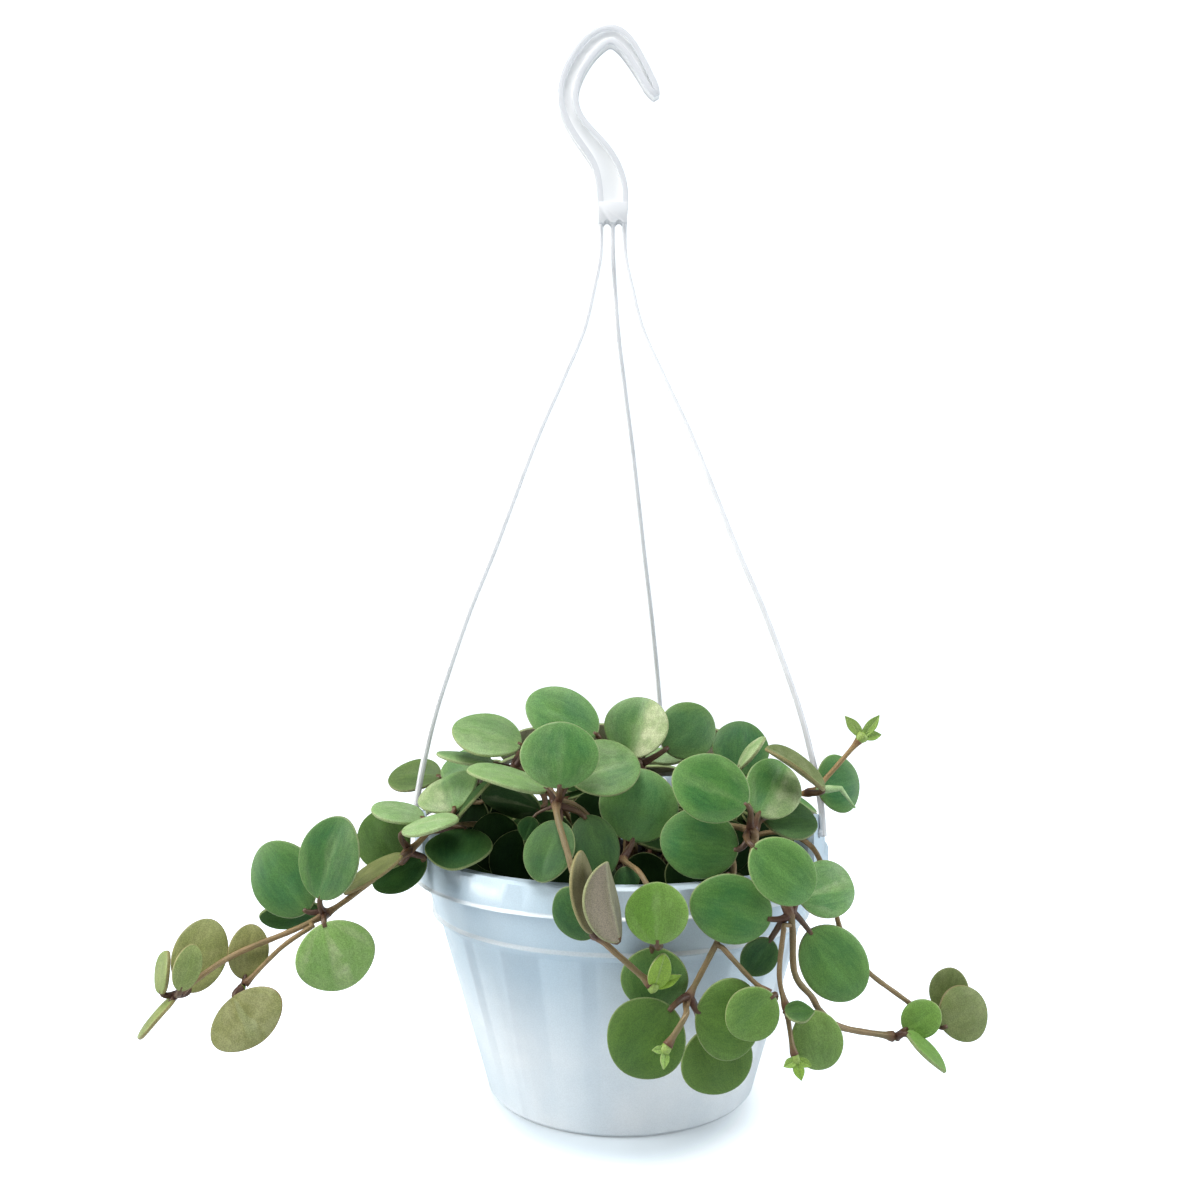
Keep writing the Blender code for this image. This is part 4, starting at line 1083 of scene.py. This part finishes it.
def make_crumbs(rng):
    """Crumbs of compost, spread over the soil."""
    crumbs = []
    deselect()
    bpy.ops.mesh.primitive_ico_sphere_add(subdivisions=1, radius=MM)
    crumb = named("crumb")
    for _ in range(CRUMB_COUNT):
        copy = stand("crumb", crumb.data.copy())
        far = CRUMB_SPREAD * math.sqrt(rng.random())
        turn = rng.uniform(0, 2 * math.pi)
        size = [rng.uniform(*CRUMB_SIZES) for _ in range(3)]
        angle = rng.uniform(0, FULL_TURN)
        spin = Matrix.Rotation(angle, 4, Vector((rng.random(), rng.random(), 0.3)).normalized())
        spot = Matrix.Translation(Vector((far * math.cos(turn), far * math.sin(turn), SOIL_TOP - 0.4)) * MM)
        copy.data.transform(spot @ spin @ Matrix.Diagonal((*size, 1)))
        crumbs.append(copy)
    bpy.data.objects.remove(crumb, do_unlink=True)
    return crumbs


# ---------------------------------------------------------------- stems and leaves

def facing(turn, lift):
    """The direction that a leaf's upper face looks in."""
    turn, lift = math.radians(turn), math.radians(lift)
    return Vector((math.sin(turn) * math.cos(lift), -math.cos(turn) * math.cos(lift), math.sin(lift)))


def leaf_axes(leaf):
    """Middle, face direction, tip direction, length and width of a leaf in the front table."""
    x, y, z, turn, lift, aim, length, width = leaf
    face = facing(turn, lift)
    aim = math.radians(aim)
    tip = across(face, Vector((math.sin(aim), 0, math.cos(aim))))
    return Vector((x, y, z)), face, tip, length, width


def fan_leaves(node, turn, lift, spins, length):
    """The leaves of a whorl on the far side, as leaf_axes gives them."""
    face = facing(turn, lift)
    up = across(face, Vector((0, 0, 1)))
    right = up.cross(face)
    for spin in spins:
        spin = math.radians(spin)
        tip = math.cos(spin) * up + math.sin(spin) * right
        middle = Vector(node) + tip * (FAN_STALK + length / 2) + face * FAN_RISE
        yield middle, face, tip, length, length * FAN_WIDTH_SHARE


def stem_line(points, step):
    """The middle line of a stem; one that grows out of the soil starts upright."""
    line = [Vector(p) for p in points]
    if math.hypot(line[0].x, line[0].y) > SOIL_FLAT_RADIUS:
        return smooth_line(line, step)
    return [line[0]] + smooth_line([line[0] + Vector((0, 0, STEM_FOOT))] + line[1:], step)


def make_blade():
    """One leaf blade of unit size: a thick disc with rings on both faces, rounded by subdivision."""
    deselect()
    bpy.ops.mesh.primitive_cylinder_add(vertices=BLADE_SIDES, radius=1.0, depth=BLADE_DEPTH)
    blade = named("blade_pattern")
    for direction in (1, -1):
        pick(blade, "FACE", lambda face: face.normal.z * direction > 0.9)
        for width in BLADE_RINGS:
            bpy.ops.mesh.inset(thickness=width)
        bpy.ops.mesh.poke()
        leave()
    apply(blade, "SUBSURF", levels=1, render_levels=1)
    return blade


def shaped_leaf(pattern, axes, look, rng, finishes, mark=NO_MARK, face_look=None):
    """A copy of the blade, shaped and put where its leaf grows."""
    middle, face, tip, length, width = axes
    pale, olive, young, painted_shade, fold = look
    piece = stand("leaf", pattern.data.copy())
    mesh = piece.data
    wear(piece, finishes, 2 if painted_shade > DULL_FROM and len(finishes) > 2 else 0)
    u, v, z = coordinates(mesh).T
    reach = np.sqrt(u * u + v * v)
    forward = np.clip(v, 0, 1)
    small = length < TIP_LENGTH
    point = TIP_POINT if small else rng.uniform(*LEAF_POINT)
    thick = LEAF_THICKNESS / 2 * (0.6 if small else 1 - 0.35 * reach ** 4)
    top = np.clip(z / BLADE_DEPTH + 0.5, 0, 1) if face_look is None else np.full(len(z), face_look)
    waves = rng.uniform(0, FULL_TURN)
    half = width / 2 * (1 + 0.05 * (1 - v * v)) * (1 - point * forward ** 2)
    dome = rng.uniform(*DOMING) * width * (u * u + 0.7 * v * v - 0.4)
    crease = fold * width * (np.sqrt(u * u + 0.02) - 0.14)
    groove = -GROOVE_DEPTH * np.exp(-(u / GROOVE_WIDTH) ** 2) * np.clip(1 - v * v, 0, 1)
    curl = -rng.uniform(0.0, CURL) * length * forward ** 2
    wave = WAVINESS * width * np.sin(3 * np.arctan2(v, u) + waves) * reach ** 2
    height = z / BLADE_DEPTH * 2 * thick + dome + crease + groove + curl + wave
    side = tip.cross(face)
    spots = np.stack([u * half, v * length / 2, height], 1) @ np.array([side, tip, face])
    spots += np.array(middle)
    low, high = np.array(CAD_BOX) / MM
    spots += np.clip(low + BOX_ROOM - spots.min(0), 0, None)
    spots -= np.clip(spots.max(0) - high + BOX_ROOM, 0, None)
    mesh.vertices.foreach_set("co", np.ascontiguousarray(spots * MM, np.float32).ravel())
    rib = max(0.0, fold - 0.15) * 1.6
    set_looks(mesh, np.stack([u, v, top], 1), (pale, olive, young), (painted_shade, rng.random(), rib), mark)
    mesh.update()
    return piece


def set_looks(mesh, blade, tone, shade, mark=NO_MARK):
    """Store what the leaf finish reads: place on the blade, tones, shades and pale marks, which carry painted
    light and painted shade.
    """
    for name, values in (("blade", blade), ("tone", tone), ("shade", shade), ("mark", mark)):
        write_attribute(mesh, name, np.broadcast_to(values, (len(mesh.vertices), 3)))


def stalk_run(centre, along, stem_radius, axes):
    """The points and radii of a stalk from the stem to the base of a blade."""
    middle, face, tip, length, _ = axes
    base = middle - tip * length / 2
    outward = across(along, base - centre) if stem_radius else (base - centre).normalized()
    start = centre + outward * stem_radius * 0.6
    reach = max((base - start).length, 0.3)
    end = base + tip * min(STALK_SINK, length * 0.12) - face * 0.15
    bend_a = start + outward * reach * STALK_BEND
    bend_b = base - tip * reach * STALK_BEND
    points, radii = [], []
    radius = STALK_RADIUS * (0.5 if length < TIP_LENGTH else 1.0)
    for k in range(STALK_STEPS + 1):
        t = k / STALK_STEPS
        s = 1 - t
        points.append(s ** 3 * start + 3 * s * s * t * bend_a + 3 * s * t * t * bend_b + t ** 3 * end)
        radii.append(radius * (1.0 + 0.75 * s ** 2 + 0.1 * t))
    return points, radii


def near_node(line, node):
    """The middle of a whorl on its stem, the stem's direction there, and whether the stem ends there."""
    nearest = min(range(1, len(line)), key=lambda i: (line[i] - node).length)
    before = (line[nearest] - line[nearest - 1]).normalized()
    if nearest == len(line) - 1:
        return line[-1] + before * (GAP + BUD_RADIUS), before, True
    return line[nearest], before, False


def greened(piece, finishes, tone, chance):
    """Give a piece that is no leaf the green of one."""
    wear(piece, finishes)
    set_looks(piece.data, GREEN_SKIN, tone, (0.0, chance, 0.0))
    return piece


def make_bud(centre, along, finishes, rng):
    """The pointed bud at the end of a stem."""
    deselect()
    bpy.ops.mesh.primitive_uv_sphere_add(segments=14, ring_count=10, radius=BUD_RADIUS * MM)
    bud = named("bud")
    points = coordinates(bud.data)
    height = points[:, 2] / (BUD_RADIUS * MM)
    points[:, :2] *= (1 - 0.35 * np.clip(height, 0, 1) ** 2)[:, None]
    points[:, 2] *= np.where(height > 0, 1.25, 1.0)
    bud.data.vertices.foreach_set("co", points.ravel())
    bud.data.transform(Matrix.Translation(centre * MM) @ along.to_track_quat("Z", "Y").to_matrix().to_4x4())
    return greened(bud, finishes, (0.1, 0.1, 0.8), rng.random())


def lobe_axes(hub, axes, longer, wider):
    """A young leaf drawn out to the hub it has not yet parted from."""
    middle, face, tip, length, width = axes
    point = hub + (middle + tip * length / 2 - hub) * longer
    tip = (point - hub).normalized()
    return (hub + point) / 2, across(tip, face), tip, (point - hub).length * 1.04, width * wider


def make_trumpet(centre, along, stem_radius, flaring, finishes, rng):
    """The flared green end of a stem that a star of young leaves opens from."""
    points = [centre + along * height for height, _ in FLARE]
    flare = tubes("flare", [(points, [stem_radius * (0.9 + width * flaring) for _, width in FLARE])], 3)
    return greened(flare, finishes, (0.15, 0.35, 0.8), rng.random())


def make_spike(finishes):
    """The young flower spike, in the pale green of the leaves."""
    spike = tubes("spike", [([Vector(p) for p in SPIKE_LINE], SPIKE_RADII)])
    return greened(spike, finishes, (1.0, 0.1, 0.1), 0.5)


def make_stalks(runs, finishes):
    """Stalks of leaves in their own finish, the second of the finishes."""
    stalks = tubes("stalks", runs)
    wear(stalks, finishes, 1)
    return stalks


def make_whorl(name, line, node, stem_radius, shapes, looks, pattern, finishes, rng):
    """A whorl: its leaves, their stalks, and the bud where the stem ends."""
    centre, along, ends = near_node(line, Vector(node))
    parts = []
    runs = []
    for i, (axes, look) in enumerate(zip(shapes, looks)):
        if name in STAR_ENDS:
            axes = lobe_axes(centre - along * 0.4, axes, *STAR_ENDS[name][1:])
        parts.append(shaped_leaf(pattern, axes, look, rng, finishes, LEAF_MARKS.get((name, i), NO_MARK),
                                 ONE_FACED.get((name, i))))
        runs.append(stalk_run(centre, along, 0.0 if ends else stem_radius, axes))
    stalks = make_stalks(runs, finishes)
    away = np.linalg.norm(coordinates(stalks.data) / MM - np.array(centre), axis=1)
    young = float(name in STAR_ENDS)
    knot = np.clip(1.7 - away / 4.0, 0, 1) * (1 - young)
    set_looks(stalks.data, (0, 0, 1), (0, 0, young), np.stack([knot, away, away], 1))
    parts.append(stalks)
    if name == SPIKE_WHORL:
        parts.append(make_spike(finishes))
    if name in STAR_ENDS:
        parts.append(make_trumpet(centre, along, stem_radius, STAR_ENDS[name][0], finishes, rng))
    elif ends:
        parts.append(make_bud(centre, along, finishes, rng))
    hand_over(joined("growth_" + name, *parts), "leaf", "leaves_" + name)


def make_stem(name, points, radius, nodes, finish, rng, root):
    """A stem with swollen nodes, thinner towards its end; a branch starts inside its parent."""
    line = ([root] if root else []) + stem_line(points, STEM_FINE_STEP)
    run = [0.0]
    for a, b in zip(line, line[1:]):
        run.append(run[-1] + (b - a).length)
    knots = [min(range(len(line)), key=lambda i: (line[i] - Vector(node)).length) for node in nodes]
    phase = rng.uniform(0, FULL_TURN)
    radii, swell = [], []
    for i, distance in enumerate(run):
        near = max(math.exp(-((run[k] - distance) / NODE_LENGTH) ** 2) for k in knots)
        swell.append(near)
        taper = 1.06 - STEM_TAPER * distance / run[-1]
        ripple = 1 + 0.035 * math.sin(distance * 0.9 + phase) + 0.02 * math.sin(distance * 2.3 + 2 * phase)
        radii.append(radius * STEM_SHARE * (taper * ripple + NODE_SWELL * near))
    stem = tubes("stalk_" + name, [(line, radii)], 4)
    spots = coordinates(stem.data) / MM
    centres = np.array([tuple(p) for p in line])
    nearest = np.argmin(((spots[:, None, :] - centres[None]) ** 2).sum(-1), 1)
    away = spots - centres[nearest]
    x, y, z = away.T
    around = np.arctan2(z, np.hypot(x, y) * np.sign(x - y + 0.001))
    write_attribute(stem.data, "run", np.stack([np.array(run)[nearest], around, np.array(swell)[nearest]], 1))
    write_attribute(stem.data, "age", np.full((len(spots), 3), YOUNG_STEMS.get(name, 0.0)))
    wear(stem, [finish])
    hand_over(stem, "stem", "stem_" + name)


def branch_root(name, points):
    """For a branch, the nearest point inside the stem that it grows from."""
    start = Vector(points[0])
    if math.hypot(start.x, start.y) < SOIL_FLAT_RADIUS:
        return None
    others = [spot for other, vine in VINES.items() if other != name
              for spot in stem_line(vine[1], STEM_FINE_STEP)]
    return min(others, key=lambda spot: (spot - start).length)


def make_plant(leaf, inner, stalk, stem):
    """Every stem and every whorl of leaves."""
    pattern = make_blade()
    rng = random.Random(PLANT_SEED)
    for name, (radius, points, whorls) in (VINES | BACK_VINES).items():
        make_stem(name, points, radius, [whorl[0] for whorl in whorls], stem, rng, branch_root(name, points))
        line = stem_line(points, STEM_STEP)
        for i, whorl in enumerate(whorls, 1):
            key = f"{name}_{i}"
            shapes = [leaf_axes(row) for row in whorl[1]] if name in VINES else list(fan_leaves(*whorl))
            looks = list(LEAF_LOOKS.get(key, (PLAIN_LOOK,) * len(shapes)))
            for row, look in EXTRA_LEAVES.get(key, ()):
                shapes.append(leaf_axes(row))
                looks.append(look)
            make_whorl(key, line, whorl[0], radius, shapes, looks, pattern, (leaf, stalk, inner), rng)
    make_inner_growth(pattern, (inner, stalk))
    bpy.data.objects.remove(pattern, do_unlink=True)


def search_tree(pieces):
    """A search tree of the faces of these pieces."""
    points, faces = [], []
    for piece in pieces:
        start = len(points)
        points += [v.co.copy() for v in piece.data.vertices]
        faces += [[start + i for i in face.vertices] for face in piece.data.polygons]
    return BVHTree.FromPolygons(points, faces)


def free_leaf(pattern, axes, look, finishes, rng, taken, top):
    """A low leaf, if it touches nothing that stands already."""
    leaf = shaped_leaf(pattern, axes, look, rng, finishes)
    tree = search_tree([leaf])
    points = coordinates(leaf.data) / MM
    outside = np.hypot(points[:, 0], points[:, 1]).max() > INNER_REACH
    if outside or points[:, 2].max() > top or any(tree.overlap(other) for other in taken):
        bpy.data.objects.remove(leaf, do_unlink=True)
        return None
    taken.append(tree)
    return leaf


def inner_whorl(centre, along, pattern, look, finishes, rng, taken):
    """Those leaves of one low whorl that have room."""
    first = rng.uniform(0, 360)
    made = []
    for k in range(4):
        spin = math.radians(first + 90 * k + rng.uniform(-15, 15))
        side = across(along, Vector((1, 0, 0)))
        ray = math.cos(spin) * side + math.sin(spin) * along.cross(side)
        tip = (ray + along * rng.uniform(-0.1, 0.7)).normalized()
        face = across(tip, along + ray * rng.uniform(-0.4, 0.1))
        length = rng.uniform(16, 22)
        axes = (centre + tip * (4.0 + length / 2), face, tip, length, length * FAN_WIDTH_SHARE)
        leaf = free_leaf(pattern, axes, look, finishes, rng, taken, INNER_TOP)
        if leaf:
            made.append((leaf, axes))
    return made


def make_shade_leaves(pattern, finishes, rng, taken, parts, runs):
    """Single low leaves behind the gaps between the front whorls, coloured near black as painted shade."""
    for x, y, *rest in SHADE_LEAVES:
        for back in SHADE_MOVES:
            axes = leaf_axes((x, y + back, *rest))
            leaf = free_leaf(pattern, axes, SHADE_LOOK, finishes, rng, taken, SHADE_TOP)
            if leaf:
                middle, _, tip, length, _ = axes
                base = middle - tip * (length / 2 - 0.6)
                root = Vector((base.x * 0.9, base.y * 0.9, SOIL_TOP - 1.5))
                line = smooth_line([root, base - tip * 2, base], 1.5)
                parts.append(leaf)
                runs.append((line, [STALK_RADIUS] * len(line)))
                break


def make_inner_growth(pattern, finishes):
    """Low young shoots that fill the pot between the long vines, their leaves darkened with painted shade."""
    rng = random.Random(INNER_SEED)
    bpy.context.view_layer.update()
    taken = [search_tree([thing for thing in bpy.data.objects if thing.type == "MESH"
                          and thing.name.startswith(("growth_", "stalk_", "pot_shell", "soil_bed"))])]
    parts, runs = [], []
    make_shade_leaves(pattern, finishes, rng, taken, parts, runs)
    for _ in range(INNER_TRIES):
        far, turn = INNER_SPREAD * math.sqrt(rng.random()), rng.uniform(0, 2 * math.pi)
        x, y = far * math.cos(turn), far * math.sin(turn)
        root = Vector((x * 0.75, y * 0.75, SOIL_TOP - 1))
        centre = Vector((x, y, rng.uniform(*INNER_HEIGHTS)))
        lean = Vector((rng.uniform(-0.4, 0.4), rng.uniform(-0.6, 0.1), 0))
        along = (Vector((x / 90, y / 90, 1)) + lean).normalized()
        # Painted shade: the low leaves are darkened strongly
        look = (0, rng.uniform(0, 0.15), rng.uniform(0, 0.1), rng.uniform(0.75, 0.95), 0.05)
        made = inner_whorl(centre, along, pattern, look, finishes, rng, taken)
        for leaf, axes in made:
            parts.append(leaf)
            runs.append(stalk_run(centre, along, 1.0, axes))
        if made:
            bend = (root + centre) / 2 + Vector((0, 0, 1.5))
            line = smooth_line([root, bend, centre, centre + along * 1.2], 1.5)
            runs.append((line, [1.0 + 0.4 * (i > len(line) - 4) for i in range(len(line))]))
    stalks = make_stalks(runs, finishes)
    set_looks(stalks.data, (0, 0, 1), (0, 0, 0), (0.8, 0, 0))
    hand_over(joined("growth_inner", stalks, *parts), "leaf")


# ---------------------------------------------------------------- stage, light and camera, in metres

FLOOR_SIZE = (8.0, 4.4)
FLOOR_DROP = 0.0002
SWEEP_STEPS = 12
BACKDROP_HEIGHT = 4.0
CAMERA_PLACE = (-0.0075, -0.427, 0.175)
# Each light: name, place, the height it looks at, size, power, colour
LIGHTS = (("key", (-1.05, -0.2, 0.45), 0.05, 0.5, 9.4, (1.0, 0.985, 0.95)),
          ("top", (-0.2, -0.34, 1.2), 0.1, 0.6, 11.0, (1, 1, 1)),
          ("fill", (1.0, -0.2, 0.35), 0.05, 0.6, 6.2, (0.92, 0.97, 1.0)))


def make_stage():
    """A pale floor that curves up into a backdrop."""
    deselect()
    bpy.ops.mesh.primitive_plane_add(size=1.0, location=(0, 0, -FLOOR_DROP))
    sweep = named("sweep")
    sweep.scale = (*FLOOR_SIZE, 1.0)
    place(sweep)
    pick(sweep, "EDGE", lambda edge: min(sweep.data.vertices[i].co.y for i in edge.vertices) > 0)
    angles = [math.pi / 2 * k / SWEEP_STEPS for k in range(SWEEP_STEPS + 1)]
    for last, angle in zip(angles, angles[1:]):
        move_out((0, math.sin(angle) - math.sin(last), math.cos(last) - math.cos(angle)))
    move_out((0, 0, BACKDROP_HEIGHT))
    leave()
    choose(sweep)
    bpy.ops.object.shade_smooth()
    wear(sweep, [sweep_finish()])


def sweep_finish():
    """Pale floor that glows white for the camera, with a painted shadow in front of where the pot stands."""
    finish, position = new_finish("sweep_pale")
    tree = position.tree
    shader = shader_of(finish)
    seen = add_node(tree, "ShaderNodeLightPath", output="Is Camera Ray")
    bright = blend(noise(position, 6.0, 2.0), (0.53, 0.6, 0.65, 1), (0.55, 0.615, 0.66, 1))
    connect(blend(seen, (0.68, 0.71, 0.74, 1), bright), shader["Base Color"])
    shader["Roughness"].default_value = 0.8
    shader["Specular IOR Level"].default_value = 0.1
    shader["Emission Color"].default_value = (0.95, 0.985, 1.0, 1)
    # Painted shadow: near the pot the floor glows less for the camera, in an oval stretched sideways and
    # moved towards the camera, so it is darker in front of the base
    shifted = add_node(tree, "ShaderNodeVectorMath", {0: position, 1: (1.22, 1, 1), 2: (0, 0.012, 0)},
                       operation="MULTIPLY_ADD")
    far = add_node(tree, "ShaderNodeVectorMath", {0: shifted}, "Value", operation="LENGTH")
    connect(seen * span(far, 0.042, 0.072, 0.25, 1.0), shader["Emission Strength"])
    return finish


def make_world():
    """Even white surroundings."""
    world = bpy.data.worlds.new("white_room")
    bpy.context.scene.world = world
    world.use_nodes = True
    colour, strength = world.node_tree.nodes["Background"].inputs[:2]
    seen = add_node(world.node_tree, "ShaderNodeLightPath", output="Is Camera Ray")
    connect(blend(seen, (0.86, 0.95, 1.0, 1), (1, 1, 1, 1)), colour)
    connect(span(seen, 0.0, 1.0, 0.28, 1.0), strength)


def add_light(name, spot, aim, size, power, colour):
    """A square soft box that looks at a point above the middle of the floor."""
    lamp = bpy.data.lights.new(name, "AREA")
    lamp.size = size
    lamp.energy = power
    lamp.color = colour
    holder = stand(name, lamp)
    holder.location = spot
    holder.rotation_euler = (Vector((0, 0, aim)) - Vector(spot)).to_track_quat("-Z", "Y").to_euler()


def make_camera():
    """The camera, level, a little above the plant's middle."""
    lens = bpy.data.cameras.new("camera")
    lens.lens = 35.0
    lens.sensor_width = 36.0
    lens.clip_start = 0.01
    holder = stand("camera", lens)
    holder.location = CAMERA_PLACE
    holder.rotation_euler = (math.radians(90), 0, 0)
    bpy.context.scene.camera = holder


def main():
    """Dress the whole object."""
    make_camera()
    make_stage()
    make_world()
    bpy.context.scene.view_settings.view_transform = "Standard"
    for light in LIGHTS:
        add_light(*light)
    build_mottle()
    build_grain()
    make_pot(pot_finish())
    make_hanger(hanger_finish())
    make_soil(soil_finish())
    # The second leaf finish is a duller copy for leaves with much painted shade, kept from catching sheen
    leaf, inner = leaf_finish("leaf_satin", SATIN_GLOSS), leaf_finish("leaf_shaded", SHADED_GLOSS)
    make_plant(leaf, inner, stalk_finish(), stem_finish())


main()
